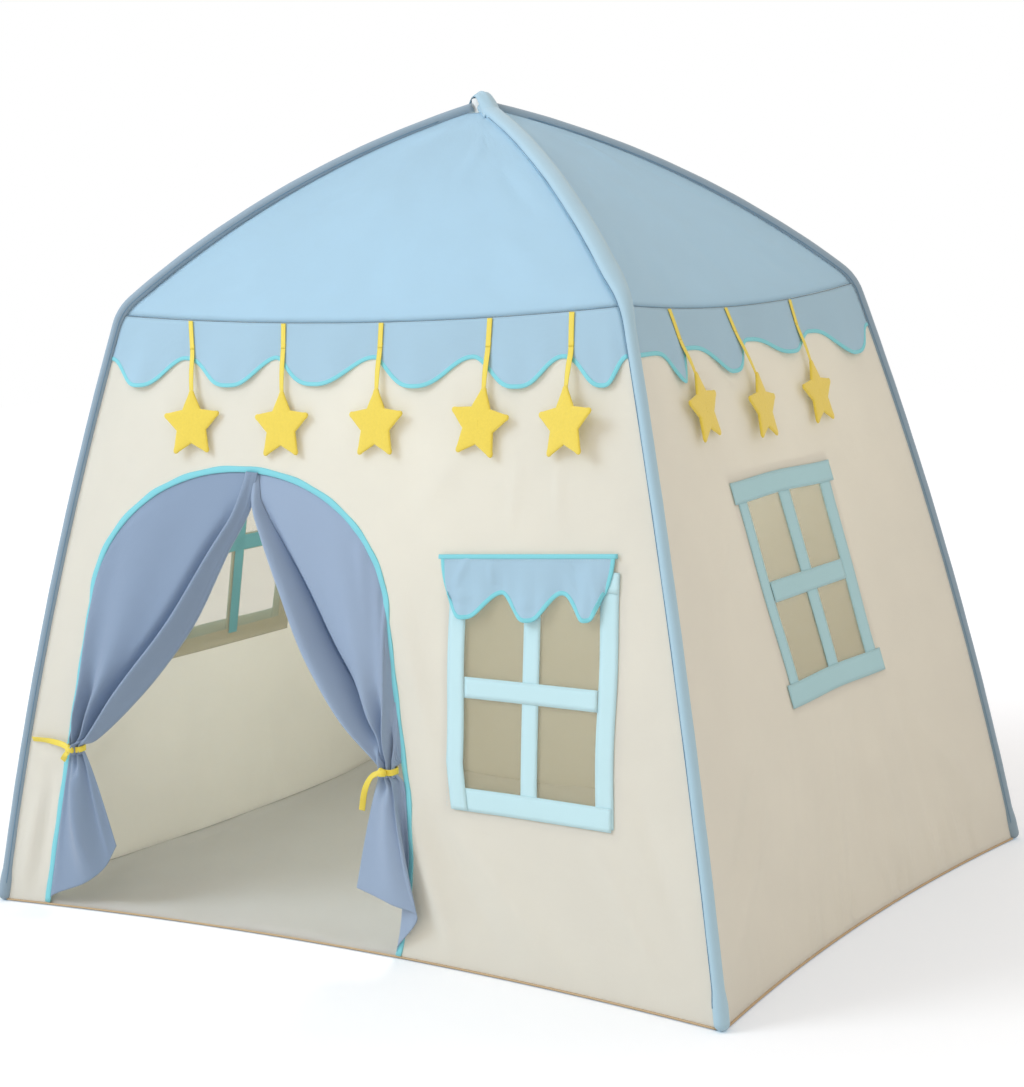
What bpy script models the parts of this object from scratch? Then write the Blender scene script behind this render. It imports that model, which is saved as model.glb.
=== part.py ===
"""Kids play tent: a bent pole frame in fabric sleeves, under a house-shaped canvas cover.

Metres, +Z up, origin on the ground at the centre of the base. The front, with the door,
faces -Y. The pole line of each corner lies in an upright plane through the middle, and
every panel, window, valance and star takes its place from that line.
"""

import math

import bmesh
import bpy
import numpy as np
from mathutils import Matrix, Vector

COLLECTION_NAME = "kids_play_tent"
CUTTER_COLLECTION_NAME = "cutters"

# Frame sizes
BASE_HALF_WIDTH = 0.65
BASE_HALF_DEPTH = 0.50
EAVE_HALF_WIDTH = 0.454
EAVE_HEIGHT = 0.9253
CROWN_HEIGHT = 1.2154
LEG_BULGE = 0.0174
ROOF_BULGE = 0.034
EAVE_BEND_REACH = 0.022
POLE_RADIUS = 0.0055
FIT_CLEARANCE = 0.0007
SOCKET_WALL = 0.0014
SOCKET_DEPTH = 0.030
POLE_END_GAP = 0.001
CUT_OVERRUN = 0.004

# Points along the pole line, and how finely round pieces are made
LINE_STEPS = 240
TURN_STEPS = 6
LEG_STATIONS = 8
BEND_STATIONS = 5
ROOF_STATIONS = 9
STATION_MARGIN = 0.002
SLOPE_STEP = 0.002
WELD_DISTANCE = 0.00001
SMOOTH_ANGLE = math.radians(40.0)
TUBE_RESOLUTION = 2
BORE_RESOLUTION = 3

# Crown hub sizes
HUB_RADIUS = 0.0165
HUB_HEIGHT = 0.023
HUB_RIM = 0.0015
HUB_SIDES = 16
HUB_CORE_REACH = 0.0105
HUB_SOCKET_REACH = 0.052

# Foot sizes
FOOT_LENGTH = 0.022
FOOT_STEPS = 4
FOOT_NOTCH_SIDES = 24

# Sleeve sizes
LEG_SLEEVE_RADIUS = 0.0098
ROOF_SLEEVE_RADIUS = 0.0118
SLEEVE_THICKNESS = 0.0012
SLEEVE_CROWN_REACH = 0.036

# Crown cover sizes
CROWN_COVER_REACH = 0.056
CROWN_COVER_HALF_WIDTH = 0.0135
CROWN_COVER_TOP = 0.0236
CROWN_COVER_DROP = 0.0075
CROWN_COVER_COLUMNS = 4
CROWN_COVER_ROWS = 10

# Cloth sizes
FABRIC_THICKNESS = 0.0012
FLOOR_THICKNESS = 0.002
FLOOR_MARGIN = 0.0015
REST_GAP = 0.0004
SEAM_GAP = 0.0003
SEAM_BELOW_EAVE = 0.0073
SEAM_DIP = 0.016
ROOF_SLACK = 0.006
ROOF_SIDE_GAP = 0.0006
ROOF_CROWN_REACH = 0.058

# How far each face bows in at its middle, at the floor, half way up and at the seam
FRONT_FOOT_BOW = 0.050
FRONT_MIDDLE_BOW = 0.016
FRONT_SEAM_BOW = 0.006
SIDE_FOOT_BOW = 0.031
SIDE_MIDDLE_BOW = 0.024
SIDE_SEAM_BOW = 0.008

# Grid cells of the panels
FRONT_WALL_COLUMNS = 16
WALL_COLUMNS = 10
WALL_ROWS = 10
ROOF_CELLS = 8
FLOOR_CELLS = 10

# Eave valance sizes
VALANCE_CUSP_DROP = 0.068
VALANCE_LOBE_DROP = 0.110
VALANCE_BULGE = 0.006
VALANCE_END_GAP = 0.0012
VALANCE_COLUMNS_PER_LOBE = 6
VALANCE_ROWS = 3
SCALLOP_POWER = 2.4
FRONT_CUSP_SHARES = (-0.68, -0.30, 0.09, 0.46, 0.78)
SIDE_CUSP_SHARES = (-0.62, -0.09, 0.46)
CUSP_TOLERANCE_SHARE = 1e-6

# Hanging star sizes
RIBBON_WIDTH = 0.0105
RIBBON_THICKNESS = 0.001
RIBBON_TUCK = 0.014
RIBBON_ROWS = 5
FELT_THICKNESS = 0.0065
STAR_RADIUS = 0.056
STAR_INNER_SHARE = 0.46
STAR_TIP_SHARE = 0.86
STAR_POINT_SHARE = 0.97
STAR_TIP_SPREAD = math.radians(7.5)
STAR_TIPS = 5
STAR_DROP = 0.161
STAR_STANDOFF = 0.0075
STAR_SWAY = 0.012
STAR_TWIST = math.radians(-9.0)
STAR_TWIST_ROOM_SHARE = 0.9

# Window sizes: centre, height of the middle, and the widths of its strips
WINDOW_STRIP = 0.028
WINDOW_MUNTIN = 0.026
WINDOW_HOLE_INSET = 0.016
WINDOW_LINTEL_OVERHANG = 0.010
WINDOW_GAP = 0.0009
WINDOW_MESH_INSET = 0.006
WINDOW_MESH_CELLS = 4
FRAME_COLUMNS = 7
PANE_CELLS = (2, 4)
FRONT_WINDOW_CENTRE = 0.331
FRONT_WINDOW_MIDDLE = 0.401
FRONT_WINDOW_WIDTH = 0.280
FRONT_WINDOW_HEIGHT = 0.342
SIDE_WINDOW_WIDTH = 0.288
SIDE_WINDOW_HEIGHT = 0.336
RIGHT_WINDOW_CENTRE = 0.012
RIGHT_WINDOW_MIDDLE = 0.499
RIGHT_WINDOW_LEAN = 0.068
LEFT_WINDOW_CENTRE = 0.0
LEFT_WINDOW_MIDDLE = 0.505
LEFT_WINDOW_LEAN = 0.0

# Window valance sizes
WINDOW_VALANCE_OVERHANG = 0.006
WINDOW_VALANCE_RISE = 0.016
WINDOW_VALANCE_CUSP_DROP = 0.055
WINDOW_VALANCE_LOBE_DROP = 0.090
WINDOW_VALANCE_BULGE = 0.009
WINDOW_CUSP_SHARES = (-0.25, 0.41)

# Door sizes
DOOR_CENTRE = -0.199
DOOR_SIDE_MARGIN = 0.088
DOOR_SPRING_HALF_WIDTH = 0.279
DOOR_SPRING_HEIGHT = 0.480
DOOR_HEIGHT = 0.687
DOOR_TUCK = 0.070
DOOR_TUCK_HEIGHT = 0.230
DOOR_TUCK_POWER = 1.6
DOOR_JAMB_STEPS = 8
DOOR_ARCH_STEPS = 20
BINDING_WIDTH = 0.008
BINDING_THICKNESS = 0.001
BINDING_FOOT = 0.007

# Curtain sizes
CURTAIN_EDGE_GAP = 0.0006
CURTAIN_THICKNESS = 0.0012
CURTAIN_ROWS = 10
CURTAIN_COLUMNS = 24
CURTAIN_FOLD_DEPTH = 0.034
BUNCH_HALF_WIDTH = 0.0125
BUNCH_HALF_DEPTH = 0.0065
BUNCH_STANDOFF = 0.010
BUNCH_FOLDS = 3.5
LEFT_TIE_HEIGHT = 0.256
RIGHT_TIE_HEIGHT = 0.275
TIE_INSET = 0.020
LEFT_CURTAIN_BOW = 0.062
RIGHT_CURTAIN_BOW = 0.050
CURTAIN_BOW_POWER = 3
CURTAIN_MEETING = 0.012
CURTAIN_PARTING = 0.006

# Curtain tail sizes: how far the hem reaches to the side of the jamb's foot, how far it climbs
# and how far it stands out from the wall, with the hem's points as shares of these
TAIL_ROWS = 8
TAIL_COLUMNS = 20
TAIL_TOP_GAP = 0.004
TAIL_FOOT_GAP = 0.010
TAIL_BINDING_GAP = 0.0017
TAIL_LAP = 0.0005
TAIL_FOLD_DEPTH = 0.004
TAIL_FOLDS = 1.5
TAIL_EDGE_POWER = 4
TAIL_FLARE_POWER = 0.8
HEM_COLUMN_SHARES = (0.0, 0.22, 0.45, 0.74, 1.0)
LEFT_TAIL_REACH = 0.134
LEFT_TAIL_RISE = 0.096
LEFT_TAIL_BILLOW = 0.010
LEFT_HEM_REACH_SHARES = (0.015, 0.343, 0.634, 0.881, 1.0)
LEFT_HEM_RISE_SHARES = (0.0, 0.167, 0.354, 0.656, 1.0)
LEFT_HEM_BILLOW_SHARES = (0.0, 0.6, 1.0, 0.6, 0.0)
RIGHT_TAIL_REACH = 0.058
RIGHT_TAIL_RISE = 0.094
RIGHT_TAIL_BILLOW = 0.029
RIGHT_HEM_REACH_SHARES = (-0.07, 0.52, 1.0, 0.17, -0.79)
RIGHT_HEM_RISE_SHARES = (0.0, 0.255, 0.638, 0.83, 1.0)
RIGHT_HEM_BILLOW_SHARES = (0.0, 0.345, 0.55, 0.86, 1.0)

# Curtain tie sizes: the reach of each loose end, with its points as shares of the reach
# to the side and up, and of the way from the wall side of the ribbon out to the knot
TIE_WIDTH = 0.009
TIE_THICKNESS = 0.0012
TIE_CLEARANCE = 0.0016
TIE_RING_SIDES = 14
TIE_END_LAYER = 0.006
KNOT_RADIUS = 0.0070
KNOT_SEAT_SHARE = 0.9
KNOT_SIDES = 8
KNOT_RINGS = 6
LEFT_LONG_END_REACH = 0.092
LEFT_SHORT_END_REACH = 0.028
RIGHT_END_REACH = 0.047
LEFT_LONG_END_SHARES = ((0.0, 0.0, 0.9), (-0.33, 0.04, 0.3), (-0.67, 0.065, 0.1), (-1.0, 0.065, 0.0))
LEFT_SHORT_END_SHARES = ((0.0, -0.07, 0.9), (-0.5, -0.36, 0.6), (-1.0, -0.79, 0.2))
RIGHT_END_SHARES = ((0.0, 0.0, 0.9), (-0.43, -0.17, 0.8), (-0.77, -0.64, 0.6), (-1.0, -1.32, 0.3))

FRONT_LEFT, FRONT_RIGHT, BACK_RIGHT, BACK_LEFT = "front_left", "front_right", "back_right", "back_left"
CORNERS = {FRONT_LEFT: (-1, -1), FRONT_RIGHT: (1, -1), BACK_RIGHT: (1, 1), BACK_LEFT: (-1, 1)}

# Each finish: its colour, roughness and metallic value
FINISHES = {
    "pole": ((0.30, 0.32, 0.34), 0.40, 0.8),
    "plastic": ((0.86, 0.87, 0.86), 0.40, 0.0),
    "sleeve": ((0.27, 0.42, 0.52), 0.80, 0.0),
    "canvas": ((0.80, 0.78, 0.70), 0.90, 0.0),
    "roof": ((0.47, 0.69, 0.82), 0.85, 0.0),
    "floor": ((0.66, 0.62, 0.52), 0.90, 0.0),
    "mesh": ((0.47, 0.44, 0.32), 0.85, 0.0),
    "strip": ((0.45, 0.74, 0.81), 0.80, 0.0),
    "binding": ((0.16, 0.62, 0.68), 0.70, 0.0),
    "curtain": ((0.31, 0.42, 0.60), 0.85, 0.0),
    "ribbon": ((0.86, 0.78, 0.13), 0.50, 0.0),
    "felt": ((0.86, 0.69, 0.11), 0.95, 0.0),
}


# Scene helpers

def start_scene():
    """Removes what is in the scene and makes the two collections."""
    for old in list(bpy.data.objects):
        bpy.data.objects.remove(old)
    for name in (COLLECTION_NAME, CUTTER_COLLECTION_NAME):
        bpy.context.scene.collection.children.link(bpy.data.collections.new(name))


def material(name, finish):
    """A sub-part's own Principled material, in one of the tent's finishes."""
    colour, roughness, metallic = FINISHES[finish]
    made = bpy.data.materials.new(f"{name}_{finish}")
    made.use_nodes = True
    shader = made.node_tree.nodes["Principled BSDF"]
    shader.inputs["Base Color"].default_value = (*colour, 1.0)
    shader.inputs["Roughness"].default_value = roughness
    shader.inputs["Metallic"].default_value = metallic
    made.diffuse_color = (*colour, 1.0)
    return made


def add_object(name, data, surface):
    """Puts a mesh or curve into the tent's collection with its material."""
    made = bpy.data.objects.new(name, data)
    data.materials.clear()
    data.materials.append(surface)
    bpy.data.collections[COLLECTION_NAME].objects.link(made)
    return made


def evaluated_mesh(source):
    """The object's mesh with its modifiers applied, welded and in world space."""
    bpy.context.view_layer.update()
    graph = bpy.context.evaluated_depsgraph_get()
    mesh = bpy.data.meshes.new_from_object(source.evaluated_get(graph))
    mesh.transform(source.matrix_world)
    bm = bmesh.new()
    bm.from_mesh(mesh)
    bmesh.ops.remove_doubles(bm, verts=bm.verts, dist=WELD_DISTANCE)
    bmesh.ops.recalc_face_normals(bm, faces=bm.faces)
    bm.to_mesh(mesh)
    bm.free()
    return mesh


def as_mesh(source):
    """Replaces a curve, or an object with modifiers, by its plain mesh."""
    mesh = evaluated_mesh(source)
    made = add_object(source.name, mesh, source.active_material)
    name = source.name
    bpy.data.objects.remove(source)
    made.name = name
    return made


def make_cutter(source):
    """Moves a closed mesh object to the cutters."""
    bpy.data.collections[COLLECTION_NAME].objects.unlink(source)
    bpy.data.collections[CUTTER_COLLECTION_NAME].objects.link(source)
    source.hide_render = True
    source.display_type = 'WIRE'
    return source


def boolean(target, tool, operation):
    """Cuts the tool out of the target, or joins it on."""
    step = target.modifiers.new(operation.lower(), 'BOOLEAN')
    step.operation = operation
    step.object = make_cutter(tool)
    step.solver = 'EXACT'


def smooth(target):
    """Smooth shading that keeps the edges of rims and end faces sharp."""
    target.data.shade_smooth()
    target.data.set_sharp_from_angle(angle=SMOOTH_ANGLE)


def solidify(target, thickness, offset):
    """Gives an open surface its thickness."""
    step = target.modifiers.new("thickness", 'SOLIDIFY')
    step.thickness = thickness
    step.offset = offset
    step.use_even_offset = True


def sheet(name, columns, rows, place, thickness, finish, keep=None):
    """A cloth panel: a flat grid whose shares across and along are moved into place."""
    bm = bmesh.new()
    bmesh.ops.create_grid(bm, x_segments=columns, y_segments=rows, size=1.0)
    if keep:
        gone = [face for face in bm.faces if not keep(*grid_cell(face.calc_center_median(), columns, rows))]
        bmesh.ops.delete(bm, geom=gone, context='FACES')
    for vertex in bm.verts:
        vertex.co = place((vertex.co.x + 1.0) / 2.0, (vertex.co.y + 1.0) / 2.0)
    mesh = bpy.data.meshes.new(name)
    bm.to_mesh(mesh)
    bm.free()
    made = add_object(name, mesh, material(name, finish))
    smooth(made)
    solidify(made, thickness, 0.0)
    return made


def grid_cell(centre, columns, rows):
    """Column and row of a grid face, from its centre in the flat grid."""
    return int((centre.x + 1.0) / 2.0 * columns), int((centre.y + 1.0) / 2.0 * rows)


def adopt_primitive(name, finish):
    """Names the primitive that was just added and moves it to the tent's collection."""
    added = bpy.context.object
    for owner in added.users_collection:
        owner.objects.unlink(added)
    bpy.data.collections[COLLECTION_NAME].objects.link(added)
    added.name = name
    added.data.materials.append(material(name, finish))
    return added


def move_origin(target, origin):
    """Puts an object's origin on its hinge line and leaves its surface where it is."""
    target.data.transform(Matrix.Translation(-origin))
    target.location = origin


def hang_from(child, carrier):
    """Parents a piece to the piece that carries it and leaves it where it is."""
    child.parent = carrier
    child.matrix_parent_inverse = Matrix.Translation(-carrier.location)


def tube(name, points, radius, finish, filled=True, resolution=TUBE_RESOLUTION):
    """A round bar along points; radius is one value, or one for each point."""
    data = bpy.data.curves.new(name, 'CURVE')
    data.dimensions = '3D'
    data.bevel_resolution = resolution
    data.bevel_depth = 1.0
    data.use_fill_caps = filled
    spline = data.splines.new('POLY')
    spline.points.add(len(points) - 1)
    radii = [radius] * len(points) if isinstance(radius, float) else radius
    for target, point, size in zip(spline.points, points, radii):
        target.co = (*point, 1.0)
        target.radius = size
    return add_object(name, data, material(name, finish))


def flat_outline(name, points, half_thickness, finish):
    """A flat plate from the outline points of its own X and Y."""
    data = bpy.data.curves.new(name, 'CURVE')
    data.dimensions = '2D'
    data.fill_mode = 'BOTH'
    data.extrude = half_thickness
    spline = data.splines.new('POLY')
    spline.points.add(len(points) - 1)
    for target, point in zip(spline.points, points):
        target.co = (point[0], point[1], 0.0, 1.0)
    spline.use_cyclic_u = True
    return add_object(name, data, material(name, finish))


# The pole line

BASE_HALF_DIAGONAL = math.hypot(BASE_HALF_WIDTH, BASE_HALF_DEPTH)
WIDTH_SHARE = BASE_HALF_WIDTH / BASE_HALF_DIAGONAL
DEPTH_SHARE = BASE_HALF_DEPTH / BASE_HALF_DIAGONAL
EAVE_POINT = np.array([EAVE_HALF_WIDTH / WIDTH_SHARE, EAVE_HEIGHT])


def bowed(start, end, bulge, steps):
    """Points from start to end that stand out from the straight line by the bulge."""
    run = end - start
    normal = np.array([run[1], -run[0]]) / np.linalg.norm(run)
    shares = np.linspace(0.0, 1.0, steps + 1)
    return np.array([start + run * t + normal * bulge * 4.0 * t * (1.0 - t) for t in shares])


def pole_line():
    """Distance from the middle and height along one corner's poles, from ground to crown."""
    foot = np.array([BASE_HALF_DIAGONAL, 0.0])
    crown = np.array([0.0, CROWN_HEIGHT])
    leg = bowed(foot, EAVE_POINT, LEG_BULGE, LINE_STEPS)
    roof = bowed(EAVE_POINT, crown, ROOF_BULGE, LINE_STEPS)
    leg = leg[np.linalg.norm(leg - EAVE_POINT, axis=1) > EAVE_BEND_REACH]
    roof = roof[np.linalg.norm(roof - EAVE_POINT, axis=1) > EAVE_BEND_REACH]
    turn = [leg[-1] * (1 - t) ** 2 + EAVE_POINT * 2 * t * (1 - t) + roof[0] * t ** 2
            for t in np.linspace(0.0, 1.0, TURN_STEPS + 1)[1:-1]]
    return np.vstack([leg, turn, roof])


LINE = pole_line()
LINE_DISTANCE = np.concatenate([[0.0], np.cumsum(np.linalg.norm(np.diff(LINE, axis=0), axis=1))])
LINE_END = LINE_DISTANCE[-1]
EAVE_DISTANCE = float(LINE_DISTANCE[np.argmin(np.linalg.norm(LINE - EAVE_POINT, axis=1))])
SEAM_HEIGHT = EAVE_HEIGHT - SEAM_BELOW_EAVE


def line_at(distance):
    """Distance from the middle and height at a distance along the pole line."""
    return (float(np.interp(distance, LINE_DISTANCE, LINE[:, 0])),
            float(np.interp(distance, LINE_DISTANCE, LINE[:, 1])))


def distance_at_height(height):
    """Distance along the pole line at a height."""
    return float(np.interp(height, LINE[:, 1], LINE_DISTANCE))


def distance_from_crown(reach):
    """Distance along the pole line where it is this far out from the middle."""
    return LINE_END - float(np.interp(reach, LINE[::-1, 0], LINE_END - LINE_DISTANCE[::-1]))


def corner_point(corner, distance):
    """Point of a corner's pole line at a distance from its ground end."""
    out, height = line_at(distance)
    side_x, side_y = CORNERS[corner]
    return Vector((side_x * out * WIDTH_SHARE, side_y * out * DEPTH_SHARE, height))


def stations():
    """Distances that every pole, elbow and sleeve shares, so that they bend alike."""
    bend_start = EAVE_DISTANCE - EAVE_BEND_REACH
    bend_end = EAVE_DISTANCE + EAVE_BEND_REACH
    leg = np.linspace(0.0, bend_start - SOCKET_DEPTH, LEG_STATIONS)
    bend = np.linspace(bend_start, bend_end, BEND_STATIONS)
    roof = np.linspace(bend_end + SOCKET_DEPTH, LINE_END, ROOF_STATIONS)
    return np.concatenate([leg, bend, roof])


def run_points(corner, start, end):
    """Distances and points of a corner's line from start to end, with the shared stations between."""
    inner = [d for d in stations() if start + STATION_MARGIN < d < end - STATION_MARGIN]
    distances = [start, *inner, end]
    return distances, [corner_point(corner, d) for d in distances]


def sleeve_radius(distance):
    """Outer radius of the sleeve, wider on the roof than on the leg."""
    return float(np.interp(distance, [EAVE_DISTANCE - EAVE_BEND_REACH, EAVE_DISTANCE + EAVE_BEND_REACH],
                           [LEG_SLEEVE_RADIUS, ROOF_SLEEVE_RADIUS]))


# The faces of the cover

class Face:
    """One upright face of the tent: its outward and sideways directions and its bow."""

    def __init__(self, outward, sideways, out_share, side_share, bow):
        self.outward = Vector(outward)
        self.sideways = Vector(sideways)
        self.out_share = out_share
        self.side_share = side_share
        self.bow = bow

    def limit(self, distance):
        """How far to the side the cloth reaches before it meets the sleeve."""
        out, _ = line_at(distance)
        before, after = line_at(distance - SLOPE_STEP), line_at(distance + SLOPE_STEP)
        slope = np.array(after) - np.array(before)
        along = self.side_share * slope[0] / np.linalg.norm(slope)
        reach = sleeve_radius(distance) / math.sqrt(1.0 - along ** 2)
        return out * self.side_share - reach - SEAM_GAP

    def limit_at_height(self, height):
        """The side limit at a height of the wall."""
        return self.limit(distance_at_height(height))

    def bow_at(self, height):
        """How far the middle of the wall bows in at a height."""
        t = min(height / SEAM_HEIGHT, 1.0)
        low, middle, high = self.bow
        return low * (1 - t) * (1 - 2 * t) + middle * 4 * t * (1 - t) + high * t * (2 * t - 1)

    def wall(self, side, height, offset=0.0):
        """Point of the wall at a place to the side and a height, moved outward by the offset."""
        distance = distance_at_height(height)
        out, _ = line_at(distance)
        share = side / self.limit(distance)
        depth = out * self.out_share - self.bow_at(height) * (1.0 - share ** 2) + offset
        return self.outward * depth + self.sideways * side + Vector((0.0, 0.0, height))

    def tilt(self, height):
        """The wall's up direction at a height, at the middle."""
        return (self.wall(0.0, height + SLOPE_STEP) - self.wall(0.0, height - SLOPE_STEP)).normalized()


def seam_height(share):
    """Height of the eave seam, which dips between the corners."""
    return SEAM_HEIGHT - SEAM_DIP * (1.0 - share ** 2)


FRONT_BOW = (FRONT_FOOT_BOW, FRONT_MIDDLE_BOW, FRONT_SEAM_BOW)
SIDE_BOW = (SIDE_FOOT_BOW, SIDE_MIDDLE_BOW, SIDE_SEAM_BOW)
FRONT = Face((0, -1, 0), (1, 0, 0), DEPTH_SHARE, WIDTH_SHARE, FRONT_BOW)
BACK = Face((0, 1, 0), (1, 0, 0), DEPTH_SHARE, WIDTH_SHARE, FRONT_BOW)
RIGHT = Face((1, 0, 0), (0, 1, 0), WIDTH_SHARE, DEPTH_SHARE, SIDE_BOW)
LEFT = Face((-1, 0, 0), (0, 1, 0), WIDTH_SHARE, DEPTH_SHARE, SIDE_BOW)

# Layers outside the wall's middle surface, from the inside out
OUTSIDE_LAYER = FABRIC_THICKNESS + REST_GAP
WINDOW_LAYER = FABRIC_THICKNESS + WINDOW_GAP
RIBBON_LAYER = OUTSIDE_LAYER + (FABRIC_THICKNESS + RIBBON_THICKNESS) / 2.0 + REST_GAP
WINDOW_VALANCE_LAYER = WINDOW_LAYER + FABRIC_THICKNESS + REST_GAP
TAIL_OVER_BINDING = (FABRIC_THICKNESS + CURTAIN_THICKNESS) / 2.0 + BINDING_THICKNESS + TAIL_BINDING_GAP
KNOT_REACH = BUNCH_HALF_DEPTH + CURTAIN_THICKNESS + TIE_CLEARANCE + KNOT_RADIUS * KNOT_SEAT_SHARE


# Frame

SOCKET_INNER_RADIUS = POLE_RADIUS + FIT_CLEARANCE
SOCKET_OUTER_RADIUS = SOCKET_INNER_RADIUS + SOCKET_WALL
FOOT_DISTANCE = distance_at_height(LEG_SLEEVE_RADIUS)
FERRULE_DISTANCE = EAVE_DISTANCE / 2.0
LEG_TOP = EAVE_DISTANCE - EAVE_BEND_REACH
ROOF_POLE_START = EAVE_DISTANCE + EAVE_BEND_REACH
ROOF_POLE_END = distance_from_crown(HUB_RADIUS)


def lower_leg_pole(corner):
    """The lower pole of a leg, with its round foot and the swelled end that takes the upper pole."""
    angles = [math.pi / 2.0 * step / FOOT_STEPS for step in range(1, FOOT_STEPS + 1)]
    distances = [FOOT_DISTANCE - LEG_SLEEVE_RADIUS * math.cos(angle) for angle in angles]
    radii = [LEG_SLEEVE_RADIUS * math.sin(angle) for angle in angles]
    foot_end = FOOT_DISTANCE + FOOT_LENGTH
    ferrule_start = FERRULE_DISTANCE - SOCKET_DEPTH
    end = FERRULE_DISTANCE + SOCKET_DEPTH
    for start, stop, radius in ((foot_end, foot_end, LEG_SLEEVE_RADIUS),
                                (foot_end + SOCKET_WALL, ferrule_start, POLE_RADIUS),
                                (ferrule_start + SOCKET_WALL, end, SOCKET_OUTER_RADIUS)):
        run = run_points(corner, start, stop)[0] if stop > start else [start]
        distances += run
        radii += [radius] * len(run)
    points = [corner_point(corner, d) for d in distances]
    pole = as_mesh(tube(f"leg_lower_pole_{corner}", points, radii, "pole"))
    _, bore_points = run_points(corner, FERRULE_DISTANCE, end + CUT_OVERRUN)
    bore = tube(f"bore_{corner}", bore_points, SOCKET_INNER_RADIUS, "pole", resolution=BORE_RESOLUTION)
    boolean(pole, as_mesh(bore), 'DIFFERENCE')
    smooth(pole)


def plain_pole(name, corner, start, end):
    """A pole from one fitting to the next."""
    _, points = run_points(corner, start, end)
    pole = as_mesh(tube(name, points, POLE_RADIUS, "pole"))
    smooth(pole)


def elbow(corner):
    """The bent socket that joins a leg to its roof pole at the eave."""
    _, points = run_points(corner, LEG_TOP - SOCKET_DEPTH, ROOF_POLE_START + SOCKET_DEPTH)
    pipe = tube(f"eave_elbow_{corner}", points, SOCKET_OUTER_RADIUS, "plastic", filled=False)
    pipe = as_mesh(pipe)
    solidify(pipe, SOCKET_WALL, -1.0)
    smooth(pipe)


def sleeve(corner):
    """The fabric tunnel that holds one corner's poles from the foot to the crown."""
    start = FOOT_DISTANCE + FOOT_LENGTH + SOCKET_WALL + REST_GAP
    distances, points = run_points(corner, start, distance_from_crown(SLEEVE_CROWN_REACH))
    radii = [sleeve_radius(d) for d in distances]
    tunnel = as_mesh(tube(f"corner_sleeve_{corner}", points, radii, "sleeve", filled=False))
    solidify(tunnel, SLEEVE_THICKNESS, -1.0)
    smooth(tunnel)


def crown_hub():
    """The four-way socket at the top, turned and bored for the roof poles."""
    bm = bmesh.new()
    bmesh.ops.create_cone(bm, cap_ends=True, segments=HUB_SIDES, radius1=HUB_RADIUS, radius2=HUB_RADIUS,
                          depth=HUB_HEIGHT)
    bmesh.ops.bevel(bm, geom=[e for e in bm.edges if abs(e.verts[0].co.z - e.verts[1].co.z) < HUB_RIM],
                    offset=HUB_RIM, segments=1, affect='EDGES')
    mesh = bpy.data.meshes.new("crown_hub")
    bm.to_mesh(mesh)
    bm.free()
    hub = add_object("crown_hub", mesh, material("crown_hub", "plastic"))
    hub.location.z = CROWN_HEIGHT
    socket_end = distance_from_crown(HUB_SOCKET_REACH)
    for corner in CORNERS:
        _, points = run_points(corner, socket_end, distance_from_crown(HUB_CORE_REACH))
        socket = as_mesh(tube(f"hub_socket_{corner}", points, SOCKET_OUTER_RADIUS, "plastic"))
        boolean(hub, socket, 'UNION')
    for corner in CORNERS:
        _, points = run_points(corner, socket_end - CUT_OVERRUN, ROOF_POLE_END + POLE_END_GAP)
        bore = tube(f"hub_bore_{corner}", points, SOCKET_INNER_RADIUS, "plastic", resolution=BORE_RESOLUTION)
        boolean(hub, as_mesh(bore), 'DIFFERENCE')
    smooth(hub)


def crown_cover():
    """The strap of sleeve cloth that crosses over the hub from one pair of sleeves to the other."""
    direction = (corner_point(FRONT_RIGHT, 0.0) - corner_point(BACK_LEFT, 0.0)).normalized()
    across = direction.cross(Vector((0, 0, 1)))
    _, hub_height = line_at(LINE_END)

    def place(a, b):
        along = (2.0 * b - 1.0) * CROWN_COVER_REACH
        out = abs(along)
        _, pole_height = line_at(distance_from_crown(out))
        rest = pole_height + ROOF_SLEEVE_RADIUS + FABRIC_THICKNESS + REST_GAP
        arch = hub_height + CROWN_COVER_TOP - FABRIC_THICKNESS / 2.0
        lift = 0.5 + 0.5 * math.cos(math.pi * min(out / CROWN_COVER_REACH, 1.0))
        side = 2.0 * a - 1.0
        height = rest + (arch - rest) * lift - CROWN_COVER_DROP * side ** 2
        return direction * along + across * (side * CROWN_COVER_HALF_WIDTH) + Vector((0, 0, height))

    sheet("crown_cover", CROWN_COVER_COLUMNS, CROWN_COVER_ROWS, place, FABRIC_THICKNESS, "sleeve")


# Cover panels

def wall_panel(name, face, columns):
    """One wall, from just over the floor sheet to the eave seam."""
    foot = FLOOR_THICKNESS + REST_GAP

    def place(a, b):
        share = 2.0 * a - 1.0
        height = foot + (seam_height(share) - SEAM_GAP - foot) * b
        return face.wall(share * face.limit_at_height(height), height)

    return sheet(name, columns, WALL_ROWS, place, FABRIC_THICKNESS, "canvas")


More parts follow.
